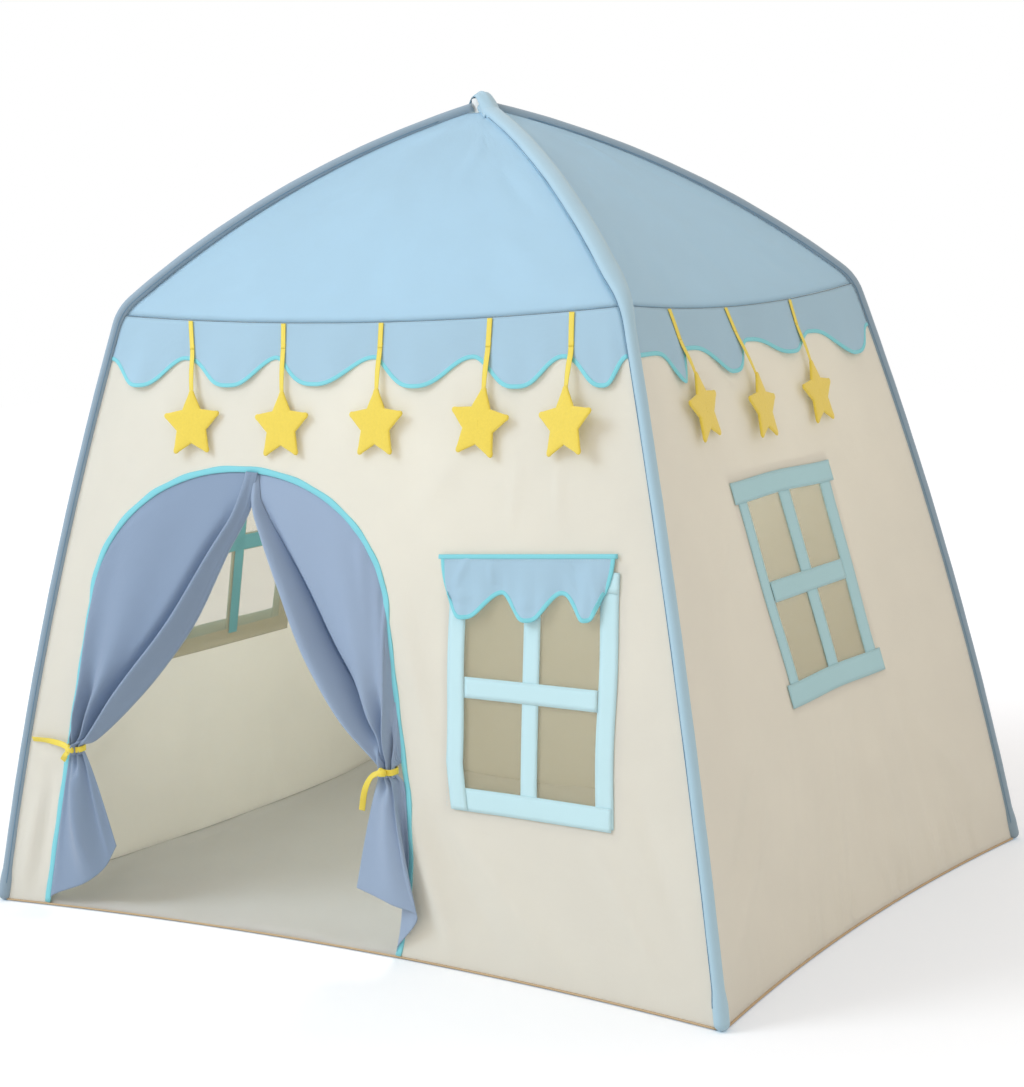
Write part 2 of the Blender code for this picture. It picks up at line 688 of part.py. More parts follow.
def roof_panel(name, face):
    """One roof panel, from the eave seam up between two roof sleeves to the crown."""
    seam_distance = distance_at_height(SEAM_HEIGHT)
    crown_distance = distance_from_crown(ROOF_CROWN_REACH)

    def place(a, b):
        share = 2.0 * a - 1.0
        distance = seam_distance + (crown_distance - seam_distance) * b
        out, height = line_at(distance)
        side = share * (face.limit(distance) - ROOF_SIDE_GAP)
        slack = ROOF_SLACK * (1.0 - share ** 2) * 4.0 * b * (1.0 - b)
        point = face.outward * (out * face.out_share) + face.sideways * side + Vector((0, 0, height - slack))
        seam = seam_height(share) + SEAM_GAP + FABRIC_THICKNESS / 2.0
        seam_out, seam_line = line_at(seam_distance)
        start = face.outward * (seam_out * face.out_share) + Vector((0, 0, seam_line))
        drop = face.wall(share * face.limit_at_height(seam), seam) - start
        drop -= face.sideways * drop.dot(face.sideways)
        return point + drop * (1.0 - b) ** 2

    sheet(name, ROOF_CELLS, ROOF_CELLS, place, FABRIC_THICKNESS, "roof")


def floor_sheet():
    """The floor, cut to the bowed foot of the four walls, with its corners cleared for the feet."""
    def place(a, b):
        across = 2.0 * a - 1.0
        along = 2.0 * b - 1.0
        half_width = BASE_HALF_WIDTH + FLOOR_MARGIN - SIDE_FOOT_BOW * (1.0 - along ** 2)
        half_depth = BASE_HALF_DEPTH + FLOOR_MARGIN - FRONT_FOOT_BOW * (1.0 - across ** 2)
        return Vector((across * half_width, along * half_depth, FLOOR_THICKNESS / 2.0))

    floor = sheet("floor_sheet", FLOOR_CELLS, FLOOR_CELLS, place, FLOOR_THICKNESS, "floor")
    for corner in CORNERS:
        x, y, _ = corner_point(corner, FOOT_DISTANCE)
        bpy.ops.mesh.primitive_cylinder_add(vertices=FOOT_NOTCH_SIDES, radius=LEG_SLEEVE_RADIUS + REST_GAP,
                                            depth=FLOOR_THICKNESS + CUT_OVERRUN, location=(x, y, 0.0))
        boolean(floor, adopt_primitive(f"foot_notch_{corner}", "floor"), 'DIFFERENCE')


def prism_cutter(name, face, outline):
    """A cutter through a wall, from the middle of the tent out, whose outline is given as places
    to the side and heights."""
    depth = BASE_HALF_DIAGONAL
    plate = flat_outline(name, outline, depth, "canvas")
    frame = Matrix((face.sideways, Vector((0, 0, 1)), face.sideways.cross(Vector((0, 0, 1))))).transposed()
    plate.matrix_world = Matrix.Translation(face.outward * depth) @ frame.to_4x4()
    return as_mesh(plate)


def cusp_edges(cusp_shares):
    """The cusps of a scalloped edge with its two ends."""
    return [-1.0, *cusp_shares, 1.0]


def scallop(share, cusp_shares):
    """0 at a cusp or an end of the edge and 1 at the lowest point of a lobe."""
    edges = cusp_edges(cusp_shares)
    for low, high in zip(edges, edges[1:]):
        if share <= high + CUSP_TOLERANCE_SHARE:
            place = (2.0 * share - low - high) / (high - low)
            return math.sqrt(max(0.0, 1.0 - min(1.0, abs(place)) ** SCALLOP_POWER))
    return 0.0


def swell(share, cusp_shares):
    """0 at a cusp, rising gently to 1 in the middle of a lobe."""
    edges = cusp_edges(cusp_shares)
    for low, high in zip(edges, edges[1:]):
        if share <= high + CUSP_TOLERANCE_SHARE:
            place = min(1.0, abs(2.0 * share - low - high) / (high - low))
            return (1.0 - place ** 2) ** 2
    return 0.0


def scallop_column(a, cusp_shares):
    """Share across a scalloped edge of the grid column a, so that cusps fall on columns."""
    edges = cusp_edges(cusp_shares)
    return float(np.interp(a, np.linspace(0.0, 1.0, len(edges)), edges))


def eave_valance(name, face, cusp_shares):
    """A scalloped strip that hangs from one eave seam and swings up on it."""
    lobes = len(cusp_shares) + 1

    def place(a, b):
        share = scallop_column(a, cusp_shares)
        lobe = scallop(share, cusp_shares)
        top = seam_height(share) - SEAM_GAP - FABRIC_THICKNESS / 2.0
        bottom = SEAM_HEIGHT - VALANCE_CUSP_DROP - (VALANCE_LOBE_DROP - VALANCE_CUSP_DROP) * lobe
        height = top + (bottom - top) * b
        side = share * (face.limit_at_height(height) - VALANCE_END_GAP)
        return face.wall(side, height, OUTSIDE_LAYER + VALANCE_BULGE * swell(share, cusp_shares) * b)

    valance = sheet(name, VALANCE_COLUMNS_PER_LOBE * lobes, VALANCE_ROWS, place, FABRIC_THICKNESS, "roof")
    corner = face.wall(face.limit_at_height(SEAM_HEIGHT), SEAM_HEIGHT, OUTSIDE_LAYER)
    move_origin(valance, corner - face.sideways * corner.dot(face.sideways))
    return valance


def star_outline():
    """Outline of the felt star: five blunt tips and five inner corners."""
    corners = ((-STAR_TIP_SPREAD, STAR_TIP_SHARE), (0.0, STAR_POINT_SHARE), (STAR_TIP_SPREAD, STAR_TIP_SHARE),
               (math.pi / STAR_TIPS, STAR_INNER_SHARE))
    points = []
    for tip in range(STAR_TIPS):
        for turn, share in corners:
            angle = math.pi / 2.0 + math.tau * tip / STAR_TIPS + turn
            points.append((STAR_RADIUS * share * math.cos(angle), STAR_RADIUS * share * math.sin(angle)))
    return points


def hanging_star(name, face, carrier, cusps, share, sway=0.0, twist=0.0):
    """A felt star on the ribbon that is sewn into the eave seam over its valance."""
    top = seam_height(share) - FABRIC_THICKNESS
    limit = face.limit_at_height(top)
    start_side = share * limit
    star_height = SEAM_HEIGHT - STAR_DROP
    star_top = star_height + STAR_RADIUS
    valance_end = SEAM_HEIGHT - VALANCE_CUSP_DROP
    star_layer = STAR_STANDOFF + STAR_RADIUS * abs(math.sin(twist)) * STAR_TWIST_ROOM_SHARE

    def place(a, b):
        height = top + (star_top - RIBBON_TUCK - top) * b
        side = start_side + sway * b + (a - 0.5) * RIBBON_WIDTH
        fall = max(0.0, (valance_end - height) / (valance_end - star_top))
        lift = VALANCE_BULGE * swell(side / face.limit_at_height(height), cusps) * (1.0 - fall)
        return face.wall(side, height, RIBBON_LAYER + lift + (star_layer - RIBBON_LAYER) * fall)

    star = sheet(name, 1, RIBBON_ROWS, place, RIBBON_THICKNESS, "felt")
    plate = flat_outline(f"{name}_felt", star_outline(), FELT_THICKNESS / 2.0, "felt")
    up = face.tilt(star_height)
    right = face.sideways.cross(face.outward)
    across = face.sideways if right.z < 0 else -face.sideways
    normal = across.cross(up)
    frame = Matrix((across, up, normal)).transposed().to_4x4()
    centre = face.wall(start_side + sway, star_height, star_layer)
    plate.matrix_world = Matrix.Translation(centre) @ Matrix.Rotation(twist, 4, up) @ frame
    boolean(star, as_mesh(plate), 'UNION')
    move_origin(star, face.wall(start_side, top, RIBBON_LAYER))
    hang_from(star, carrier)


# Windows

class Window:
    """Place and size of one window on its wall."""

    def __init__(self, face, centre, middle, width, height, lean):
        self.face = face
        self.centre = centre
        self.middle = middle
        self.width = width
        self.height = height
        self.lean = lean

    def side_at(self, side, height):
        """Place to the side with the window's lean added."""
        return self.centre + side - self.lean * (height - self.middle) / self.height

    def outline(self, inset):
        """The four corners, moved in by the inset."""
        half_width = self.width / 2.0 - inset
        half_height = self.height / 2.0 - inset
        corners = ((-1, -1), (1, -1), (1, 1), (-1, 1))
        return [(self.side_at(x * half_width, self.middle + z * half_height), self.middle + z * half_height)
                for x, z in corners]


FRONT_WINDOW = Window(FRONT, FRONT_WINDOW_CENTRE, FRONT_WINDOW_MIDDLE, FRONT_WINDOW_WIDTH,
                      FRONT_WINDOW_HEIGHT, 0.0)
RIGHT_WINDOW = Window(RIGHT, RIGHT_WINDOW_CENTRE, RIGHT_WINDOW_MIDDLE, SIDE_WINDOW_WIDTH,
                      SIDE_WINDOW_HEIGHT, RIGHT_WINDOW_LEAN)
LEFT_WINDOW = Window(LEFT, LEFT_WINDOW_CENTRE, LEFT_WINDOW_MIDDLE, SIDE_WINDOW_WIDTH,
                     SIDE_WINDOW_HEIGHT, LEFT_WINDOW_LEAN)


def window_lines(length, overhang):
    """Grid lines across a window: its edges, strips, panes and the muntin in the middle."""
    half = length / 2.0
    pane = half - WINDOW_STRIP
    inner = [-half, -pane, -WINDOW_MUNTIN / 2.0, WINDOW_MUNTIN / 2.0, pane, half]
    return [-half - overhang, *inner, half + overhang]


def window_frame(name, window):
    """The cloth strips round a window and across it, in one piece with its lintel and sill."""
    across = window_lines(window.width, WINDOW_LINTEL_OVERHANG)
    along = window_lines(window.height, 0.0)[1:-1]
    rows = len(along) - 1

    def keep(column, row):
        outer_row = row in (0, rows - 1)
        outer_column = column in (0, FRAME_COLUMNS - 1)
        pane_row = row + 1 in PANE_CELLS
        return outer_row or not (outer_column or (pane_row and column in PANE_CELLS))

    def place(a, b):
        side = across[round(a * FRAME_COLUMNS)]
        height = window.middle + along[round(b * rows)]
        return window.face.wall(window.side_at(side, height), height, WINDOW_LAYER)

    sheet(name, FRAME_COLUMNS, rows, place, FABRIC_THICKNESS, "strip", keep)


def window_mesh(name, window):
    """The fine gauze sewn in behind a window."""
    def place(a, b):
        height = window.middle + (b - 0.5) * (window.height - WINDOW_MESH_INSET)
        side = window.side_at((a - 0.5) * (window.width - WINDOW_MESH_INSET), height)
        return window.face.wall(side, height, -WINDOW_LAYER)

    sheet(name, WINDOW_MESH_CELLS, WINDOW_MESH_CELLS, place, FABRIC_THICKNESS, "mesh")


def window_valance():
    """The scalloped strip that hangs over the top of the front window and lifts off it."""
    window = FRONT_WINDOW
    top = window.middle + window.height / 2.0 + WINDOW_VALANCE_RISE
    half = window.width / 2.0 + WINDOW_VALANCE_OVERHANG
    lobes = len(WINDOW_CUSP_SHARES) + 1
    lobe_depth = WINDOW_VALANCE_LOBE_DROP - WINDOW_VALANCE_CUSP_DROP

    def place(a, b):
        share = scallop_column(a, WINDOW_CUSP_SHARES)
        bottom = top - WINDOW_VALANCE_CUSP_DROP - lobe_depth * scallop(share, WINDOW_CUSP_SHARES)
        height = top + (bottom - top) * b
        layer = WINDOW_VALANCE_LAYER + WINDOW_VALANCE_BULGE * swell(share, WINDOW_CUSP_SHARES) * b
        return window.face.wall(window.centre + share * half, height, layer)

    valance = sheet("front_window_valance", VALANCE_COLUMNS_PER_LOBE * lobes, VALANCE_ROWS, place,
                    FABRIC_THICKNESS, "roof")
    move_origin(valance, window.face.wall(window.centre + half, top, WINDOW_VALANCE_LAYER))


# Door

DOOR_FOOT_HALF_WIDTH = BASE_HALF_WIDTH - DOOR_SIDE_MARGIN + DOOR_CENTRE


def door_half_width(height):
    """Half width of the door opening at a height up to where the arch springs."""
    slope = (DOOR_FOOT_HALF_WIDTH - DOOR_SPRING_HALF_WIDTH) / DOOR_SPRING_HEIGHT
    return DOOR_FOOT_HALF_WIDTH - slope * height


def jamb(side, height):
    """Place to the side of the left (-1) or right (1) jamb at a height."""
    tuck = DOOR_TUCK * max(0.0, 1.0 - height / DOOR_TUCK_HEIGHT) ** DOOR_TUCK_POWER if side > 0 else 0.0
    return DOOR_CENTRE + side * door_half_width(height) - tuck


def arch(angle):
    """Point of the arch, from 0 at its right spring to pi at its left spring."""
    rise = DOOR_HEIGHT - DOOR_SPRING_HEIGHT
    return (DOOR_CENTRE + DOOR_SPRING_HALF_WIDTH * math.cos(angle),
            DOOR_SPRING_HEIGHT + rise * math.sin(angle))


def door_outline(foot):
    """The door opening from its left foot over the arch to its right foot."""
    heights = [foot + (DOOR_SPRING_HEIGHT - foot) * step / DOOR_JAMB_STEPS for step in range(DOOR_JAMB_STEPS)]
    left = [(jamb(-1, z), z) for z in heights]
    top = [arch(math.pi * (1.0 - step / DOOR_ARCH_STEPS)) for step in range(DOOR_ARCH_STEPS + 1)]
    right = [(jamb(1, z), z) for z in reversed(heights)]
    return left + top + right


def inset_outline(points, inset):
    """An open outline moved towards its inside, or out by a negative inset."""
    moved = []
    for index, (x, z) in enumerate(points):
        before = points[max(index - 1, 0)]
        after = points[min(index + 1, len(points) - 1)]
        run_x, run_z = after[0] - before[0], after[1] - before[1]
        length = math.hypot(run_x, run_z)
        moved.append((x + run_z / length * inset, z - run_x / length * inset))
    return moved


def door_binding():
    """The bound edge of the door opening."""
    inner = door_outline(BINDING_FOOT)
    outer = inset_outline(inner, -BINDING_WIDTH)
    steps = len(inner) - 1
    layer = (FABRIC_THICKNESS + BINDING_THICKNESS) / 2.0 + REST_GAP

    def place(a, b):
        index = round(b * steps)
        x = inner[index][0] + (outer[index][0] - inner[index][0]) * a
        z = inner[index][1] + (outer[index][1] - inner[index][1]) * a
        return FRONT.wall(x, z, layer)

    sheet("door_binding", 1, steps, place, BINDING_THICKNESS, "binding")


def front_wall():
    """The front wall with its door and window openings."""
    wall = wall_panel("front_wall", FRONT, FRONT_WALL_COLUMNS)
    outline = door_outline(0.0)
    outline = [(outline[0][0], -CUT_OVERRUN), *outline, (outline[-1][0], -CUT_OVERRUN)]
    boolean(wall, prism_cutter("door_cutter", FRONT, outline), 'DIFFERENCE')
    window_hole = FRONT_WINDOW.outline(WINDOW_HOLE_INSET)
    boolean(wall, prism_cutter("front_window_cutter", FRONT, window_hole), 'DIFFERENCE')


def side_wall(name, face, window):
    """A side wall with its window opening."""
    wall = wall_panel(name, face, WALL_COLUMNS)
    boolean(wall, prism_cutter(f"{name}_cutter", face, window.outline(WINDOW_HOLE_INSET)), 'DIFFERENCE')


# Curtains

def blend(first, second, share):
    """The value or point at a share of the way from the first to the second."""
    return first + (second - first) * share


def bunch_wave(share, folds):
    """Depth of the gathered folds across the bunch, from -1 to 1, less towards its two sides."""
    return math.sin(math.tau * folds * share) * math.sqrt(math.sin(math.pi * share))


class Tie:
    """Where one curtain is gathered: the side of the door, the height and the middle of the bunch."""

    def __init__(self, side, height):
        self.side = side
        self.height = height
        self.middle = jamb(side, height) - side * TIE_INSET

    def across(self, share):
        """Place of a share of the bunch, from the jamb side to the free side."""
        return self.middle + self.side * BUNCH_HALF_WIDTH * (1.0 - 2.0 * share)


LEFT_TIE = Tie(-1, LEFT_TIE_HEIGHT)
RIGHT_TIE = Tie(1, RIGHT_TIE_HEIGHT)


def arch_run(tie):
    """The sewn edge of a curtain, from just over its tie up the jamb and over the arch to the parting."""
    outline = inset_outline(door_outline(0.0), CURTAIN_EDGE_GAP + CURTAIN_THICKNESS / 2.0)
    if tie.side > 0:
        outline = outline[::-1]
    parting = DOOR_CENTRE + CURTAIN_MEETING + tie.side * CURTAIN_PARTING / 2.0
    run = [point for point in outline
           if point[1] > tie.height + TIE_WIDTH and (point[0] - parting) * tie.side > 0.0]
    top = sorted(point for point in outline if point[1] > DOOR_SPRING_HEIGHT)
    height = float(np.interp(parting, [point[0] for point in top], [point[1] for point in top]))
    return np.array([*run, (parting, height)])


def along_run(run, share):
    """The point at a share of a run's length."""
    lengths = np.concatenate([[0.0], np.cumsum(np.linalg.norm(np.diff(run, axis=0), axis=1))])
    target = share * lengths[-1]
    return (float(np.interp(target, lengths, run[:, 0])), float(np.interp(target, lengths, run[:, 1])))


def curtain(name, tie, bow):
    """The upper drape of a curtain, sewn to the arch and drawn in to its tie."""
    run = arch_run(tie)
    foot = tie.height - TIE_WIDTH / 2.0
    neck = tie.height + TIE_WIDTH / 2.0 + TIE_CLEARANCE
    neck_share = 1.0 / CURTAIN_ROWS

    def place(a, b):
        if b < neck_share / 2.0:
            layer = BUNCH_STANDOFF + BUNCH_HALF_DEPTH * bunch_wave(a, BUNCH_FOLDS)
            return FRONT.wall(tie.across(a), foot, layer)
        b = (b - neck_share) / (1.0 - neck_share)
        x_top, z_top = along_run(run, a)
        x_low, z_low = tie.across(a), neck
        sag = bow * a ** CURTAIN_BOW_POWER * 4.0 * b * (1.0 - b)
        chord_x, chord_z = x_top - x_low, z_top - z_low
        length = math.hypot(chord_x, chord_z)
        x = blend(x_low, x_top, b) + tie.side * -sag * chord_z / length
        z = blend(z_low, z_top, b) - sag * abs(chord_x) / length
        depth = (1.0 - b) * (BUNCH_HALF_DEPTH + CURTAIN_FOLD_DEPTH * b * a)
        layer = BUNCH_STANDOFF * (1.0 - b) ** 2 + depth * bunch_wave(a, BUNCH_FOLDS)
        return FRONT.wall(x, z, layer)

    sheet(name, CURTAIN_COLUMNS, CURTAIN_ROWS, place, CURTAIN_THICKNESS, "curtain")


def tail_hem(rise_shares, rise, reach_shares, reach, billow_shares, billow):
    """Hem points from the sewn edge to the free edge: to the side of the jamb's foot, up and out."""
    return np.column_stack([np.array(reach_shares) * reach,
                            TAIL_FOOT_GAP + np.array(rise_shares) * rise,
                            np.array(billow_shares) * billow])


def tail(name, tie, hem, sewn_edge):
    """The loose part of a curtain under its tie, sewn along the jamb on one side.

    The sewn edge gives how far it lies from the edge of the wall, and the least layer of cloth
    it keeps to where it laps over the wall, or None where it lies inside the opening.
    """
    edge_inset, least_layer = sewn_edge
    top = tie.height - TIE_WIDTH / 2.0 - TAIL_TOP_GAP
    foot = jamb(tie.side, 0.0)

    def place(a, b):
        reach, height, billow = (float(np.interp(a, HEM_COLUMN_SHARES, hem[:, k])) for k in range(3))
        z = blend(top, height, b)
        x = blend(tie.across(a), foot + reach, b ** TAIL_FLARE_POWER)
        pull = (1.0 - a) ** TAIL_EDGE_POWER
        x = blend(x, jamb(tie.side, z) - tie.side * edge_inset, pull)
        fade = (1.0 - b) ** TAIL_EDGE_POWER
        wave = bunch_wave(a, BUNCH_FOLDS) * BUNCH_HALF_DEPTH * fade * (1.0 - pull)
        fold = TAIL_FOLD_DEPTH * math.sin(math.tau * a * TAIL_FOLDS) * b * (1.0 - a * a) * (1.0 - pull)
        layer = blend(BUNCH_STANDOFF * (1.0 - pull), billow, b) + wave + fold
        return FRONT.wall(x, z, layer if least_layer is None else max(layer, least_layer))

    cloth = sheet(name, TAIL_COLUMNS, TAIL_ROWS, place, CURTAIN_THICKNESS, "curtain")
    hinge_layer = least_layer or 0.0
    hinge_height = TAIL_FOOT_GAP
    hinge_side = jamb(tie.side, hinge_height) - tie.side * edge_inset
    move_origin(cloth, FRONT.wall(hinge_side, hinge_height, hinge_layer))


def tie_ring(name, tie):
    """The ribbon's turn round the gathered curtain."""
    half_width = BUNCH_HALF_WIDTH + CURTAIN_THICKNESS + TIE_CLEARANCE
    half_depth = BUNCH_HALF_DEPTH + CURTAIN_THICKNESS + TIE_CLEARANCE
    centre = FRONT.wall(tie.middle, tie.height, BUNCH_STANDOFF)
    bm = bmesh.new()
    bmesh.ops.create_cone(bm, cap_ends=False, segments=TIE_RING_SIDES, radius1=1.0, radius2=1.0,
                          depth=TIE_WIDTH)
    bmesh.ops.scale(bm, vec=(half_width, half_depth, 1.0), verts=bm.verts)
    bmesh.ops.translate(bm, vec=centre, verts=bm.verts)
    mesh = bpy.data.meshes.new(name)
    bm.to_mesh(mesh)
    bm.free()
    ring = add_object(name, mesh, material(name, "ribbon"))
    solidify(ring, TIE_THICKNESS, 1.0)
    return ring


def tie_end(name, tie, reach, shares):
    """A loose ribbon end, from the knot outwards."""
    knot_layer = BUNCH_STANDOFF + KNOT_REACH
    points = [FRONT.wall(tie.middle + side_share * reach, tie.height + rise_share * reach,
                         blend(TIE_END_LAYER, knot_layer, layer_share))
              for side_share, rise_share, layer_share in shares]
    steps = len(points) - 1

    def place(a, b):
        return points[round(b * steps)] + Vector((0, 0, (a - 0.5) * TIE_WIDTH))

    return sheet(name, 1, steps, place, TIE_THICKNESS, "ribbon")


def curtain_tie(name, tie, ends):
    """A ribbon tie: its turn, its knot and its loose ends."""
    ring = tie_ring(name, tie)
    knot_place = FRONT.wall(tie.middle, tie.height, BUNCH_STANDOFF + KNOT_REACH)
    bpy.ops.mesh.primitive_uv_sphere_add(segments=KNOT_SIDES, ring_count=KNOT_RINGS, radius=KNOT_RADIUS,
                                         location=knot_place)
    boolean(ring, adopt_primitive(f"{name}_knot", "ribbon"), 'UNION')
    for index, (reach, shares) in enumerate(ends):
        boolean(ring, as_mesh(tie_end(f"{name}_end_{index + 1}", tie, reach, shares)), 'UNION')


# Assembly

def build_frame():
    """Poles, elbows, hub, feet and the sleeves round them."""
    for corner in CORNERS:
        lower_leg_pole(corner)
        plain_pole(f"leg_upper_pole_{corner}", corner, FERRULE_DISTANCE + POLE_END_GAP, LEG_TOP)
        plain_pole(f"roof_pole_{corner}", corner, ROOF_POLE_START, ROOF_POLE_END)
        elbow(corner)
        sleeve(corner)
    crown_hub()
    crown_cover()


def build_cover():
    """Floor, walls and roof."""
    floor_sheet()
    front_wall()
    side_wall("right_wall", RIGHT, RIGHT_WINDOW)
    side_wall("left_wall", LEFT, LEFT_WINDOW)
    wall_panel("back_wall", BACK, WALL_COLUMNS)
    for name, face in (("front", FRONT), ("back", BACK), ("right", RIGHT), ("left", LEFT)):
        roof_panel(f"{name}_roof_panel", face)


def build_details():
    """Windows, door and curtains."""
    for name, window in (("front", FRONT_WINDOW), ("right", RIGHT_WINDOW), ("left", LEFT_WINDOW)):
        window_frame(f"{name}_window_frame", window)
        window_mesh(f"{name}_window_mesh", window)
    window_valance()
    door_binding()
    curtain("left_curtain", LEFT_TIE, LEFT_CURTAIN_BOW)
    curtain("right_curtain", RIGHT_TIE, RIGHT_CURTAIN_BOW)
    left_hem = tail_hem(LEFT_HEM_RISE_SHARES, LEFT_TAIL_RISE, LEFT_HEM_REACH_SHARES, LEFT_TAIL_REACH,
                        LEFT_HEM_BILLOW_SHARES, LEFT_TAIL_BILLOW)
    right_hem = tail_hem(RIGHT_HEM_RISE_SHARES, RIGHT_TAIL_RISE, RIGHT_HEM_REACH_SHARES, RIGHT_TAIL_REACH,
                         RIGHT_HEM_BILLOW_SHARES, RIGHT_TAIL_BILLOW)
    tail("left_curtain_tail", LEFT_TIE, left_hem, (CURTAIN_EDGE_GAP + CURTAIN_THICKNESS / 2.0, None))
    tail("right_curtain_tail", RIGHT_TIE, right_hem, (-TAIL_LAP, TAIL_OVER_BINDING))
    curtain_tie("left_curtain_tie", LEFT_TIE, ((LEFT_LONG_END_REACH, LEFT_LONG_END_SHARES),
                                               (LEFT_SHORT_END_REACH, LEFT_SHORT_END_SHARES)))
    curtain_tie("right_curtain_tie", RIGHT_TIE, ((RIGHT_END_REACH, RIGHT_END_SHARES),))


def build_valances_and_stars():
    """The four eave valances, with the stars that hang over three of them."""
    front = eave_valance("front_valance", FRONT, FRONT_CUSP_SHARES)
    right = eave_valance("right_valance", RIGHT, SIDE_CUSP_SHARES)
    left = eave_valance("left_valance", LEFT, SIDE_CUSP_SHARES)
    eave_valance("back_valance", BACK, FRONT_CUSP_SHARES)
    for index, share in enumerate(FRONT_CUSP_SHARES):
        hanging_star(f"front_star_{index + 1}", FRONT, front, FRONT_CUSP_SHARES, share)
    for index, share in enumerate(SIDE_CUSP_SHARES):
        hanging_star(f"right_star_{index + 1}", RIGHT, right, SIDE_CUSP_SHARES, share, STAR_SWAY, STAR_TWIST)
        hanging_star(f"left_star_{index + 1}", LEFT, left, SIDE_CUSP_SHARES, share)


start_scene()
build_frame()
build_cover()
build_details()
build_valances_and_stars()
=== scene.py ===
"""Looks of the kids play tent: its cloth, seams, stars and finishes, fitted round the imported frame.

Metres, +Z up, the front faces -Y. The pole line, the faces, the windows and the door are worked
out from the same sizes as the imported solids, so each finer piece lies where its solid does.
"""

import math

import bmesh
import bpy
import numpy as np
from mathutils import Matrix, Vector


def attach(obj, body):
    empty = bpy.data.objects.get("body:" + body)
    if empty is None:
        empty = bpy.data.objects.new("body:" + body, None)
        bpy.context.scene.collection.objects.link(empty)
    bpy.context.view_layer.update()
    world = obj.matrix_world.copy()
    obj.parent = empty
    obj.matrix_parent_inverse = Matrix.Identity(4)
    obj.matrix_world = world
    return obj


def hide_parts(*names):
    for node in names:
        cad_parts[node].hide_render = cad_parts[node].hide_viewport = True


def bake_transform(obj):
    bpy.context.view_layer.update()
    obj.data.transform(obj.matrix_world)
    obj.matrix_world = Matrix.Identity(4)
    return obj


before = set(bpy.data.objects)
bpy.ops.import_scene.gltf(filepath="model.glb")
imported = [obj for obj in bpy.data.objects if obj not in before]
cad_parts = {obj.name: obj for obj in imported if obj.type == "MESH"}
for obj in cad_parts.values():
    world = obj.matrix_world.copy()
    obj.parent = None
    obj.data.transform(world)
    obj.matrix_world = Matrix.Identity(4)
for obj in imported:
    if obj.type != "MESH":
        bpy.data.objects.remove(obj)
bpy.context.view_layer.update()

ROOT = "frame_and_cover"
UP = np.array([0.0, 0.0, 1.0])

# Frame sizes
BASE_HALF_WIDTH = 0.65
BASE_HALF_DEPTH = 0.50
EAVE_HALF_WIDTH = 0.454
EAVE_HEIGHT = 0.9253
CROWN_HEIGHT = 1.2154
LEG_BULGE = 0.0174
ROOF_BULGE = 0.034
EAVE_BEND_REACH = 0.022
LEG_SLEEVE_RADIUS = 0.0098
LEG_SEAM_RADIUS = 0.0077
ROOF_SLEEVE_RADIUS = 0.0118
LINE_STEPS = 240
TURN_STEPS = 6
SLOPE_STEP = 0.002

# Cover sizes
SEAM_GAP = 0.0003
SEAM_BELOW_EAVE = 0.0073
SEAM_DIP = 0.016
ROOF_SLACK = 0.006
ROOF_CROWN_REACH = 0.040
FLOOR_MARGIN = 0.0015
FRONT_BOW = (0.050, 0.016, 0.006)
SIDE_BOW = (0.031, 0.024, 0.008)
CLOTH = 0.0009
FLOOR_CLOTH = 0.0012
WALL_FOOT = 0.0008
PIPING_RADIUS = 0.0017
FLOOR_TURN = 0.010

# Eave valances
VALANCE_CUSP_DROP = 0.067
VALANCE_LOBE_DROP = 0.107
VALANCE_BULGE = 0.006
VALANCE_FLUTE = 0.0014
EAVE_SEAM_RISE = 0.0001
EAVE_SEAM_INSET = 0.001
EAVE_SEAM_LAYER = 0.0012
EAVE_SEAM_RADIUS = 0.0006
VALANCE_LAYER = 0.0016
VALANCE_END_GAP = 0.0012
LOBE_COLUMNS = 26
VALANCE_ROWS = 16
LOBE_POWER = 2.7
ABOVE_EDGE_SHARE = 0.96
VALANCE_FLUTE_SHIFT = 5.0
VALANCE_CURL_POWER = 1.4
EAVE_SEAM_POINTS = 160
VALANCE_BINDING = 0.0052
BINDING_OVERLAP = 0.0006
BINDING_HALF_THICKNESS = CLOTH / 2.0 + 0.0006
FRONT_CUSP_SHARES = (-0.68, -0.30, 0.09, 0.46, 0.78)
SIDE_CUSP_SHARES = (-0.62, -0.09, 0.46)
# The lowest place of each lobe in shares of its width, and its depth in shares of a whole lobe's
FRONT_LOW_SHARES = ((0.48, 1.0), (0.54, 1.0), (0.42, 0.95), (0.42, 1.0), (0.47, 1.0), (0.56, 0.95))
RIGHT_LOW_SHARES = ((0.82, 1.05), (0.68, 1.0), (0.62, 0.62), (0.64, 1.0))
LEFT_LOW_SHARES = ((0.45, 1.0), (0.50, 0.95), (0.46, 1.0), (0.52, 1.0))
WINDOW_LOW_SHARES = ((0.42, 0.92), (0.48, 1.0), (0.56, 0.96))

# Hanging stars
RIBBON_WIDTH = 0.0085
RIBBON_THICKNESS = 0.0007
SEWN_END_BOTTOM = 0.866
RIBBON_START = 0.873
FELT_THICKNESS = 0.0042
STAR_RADIUS = 0.0535
STAR_TIPS = 5
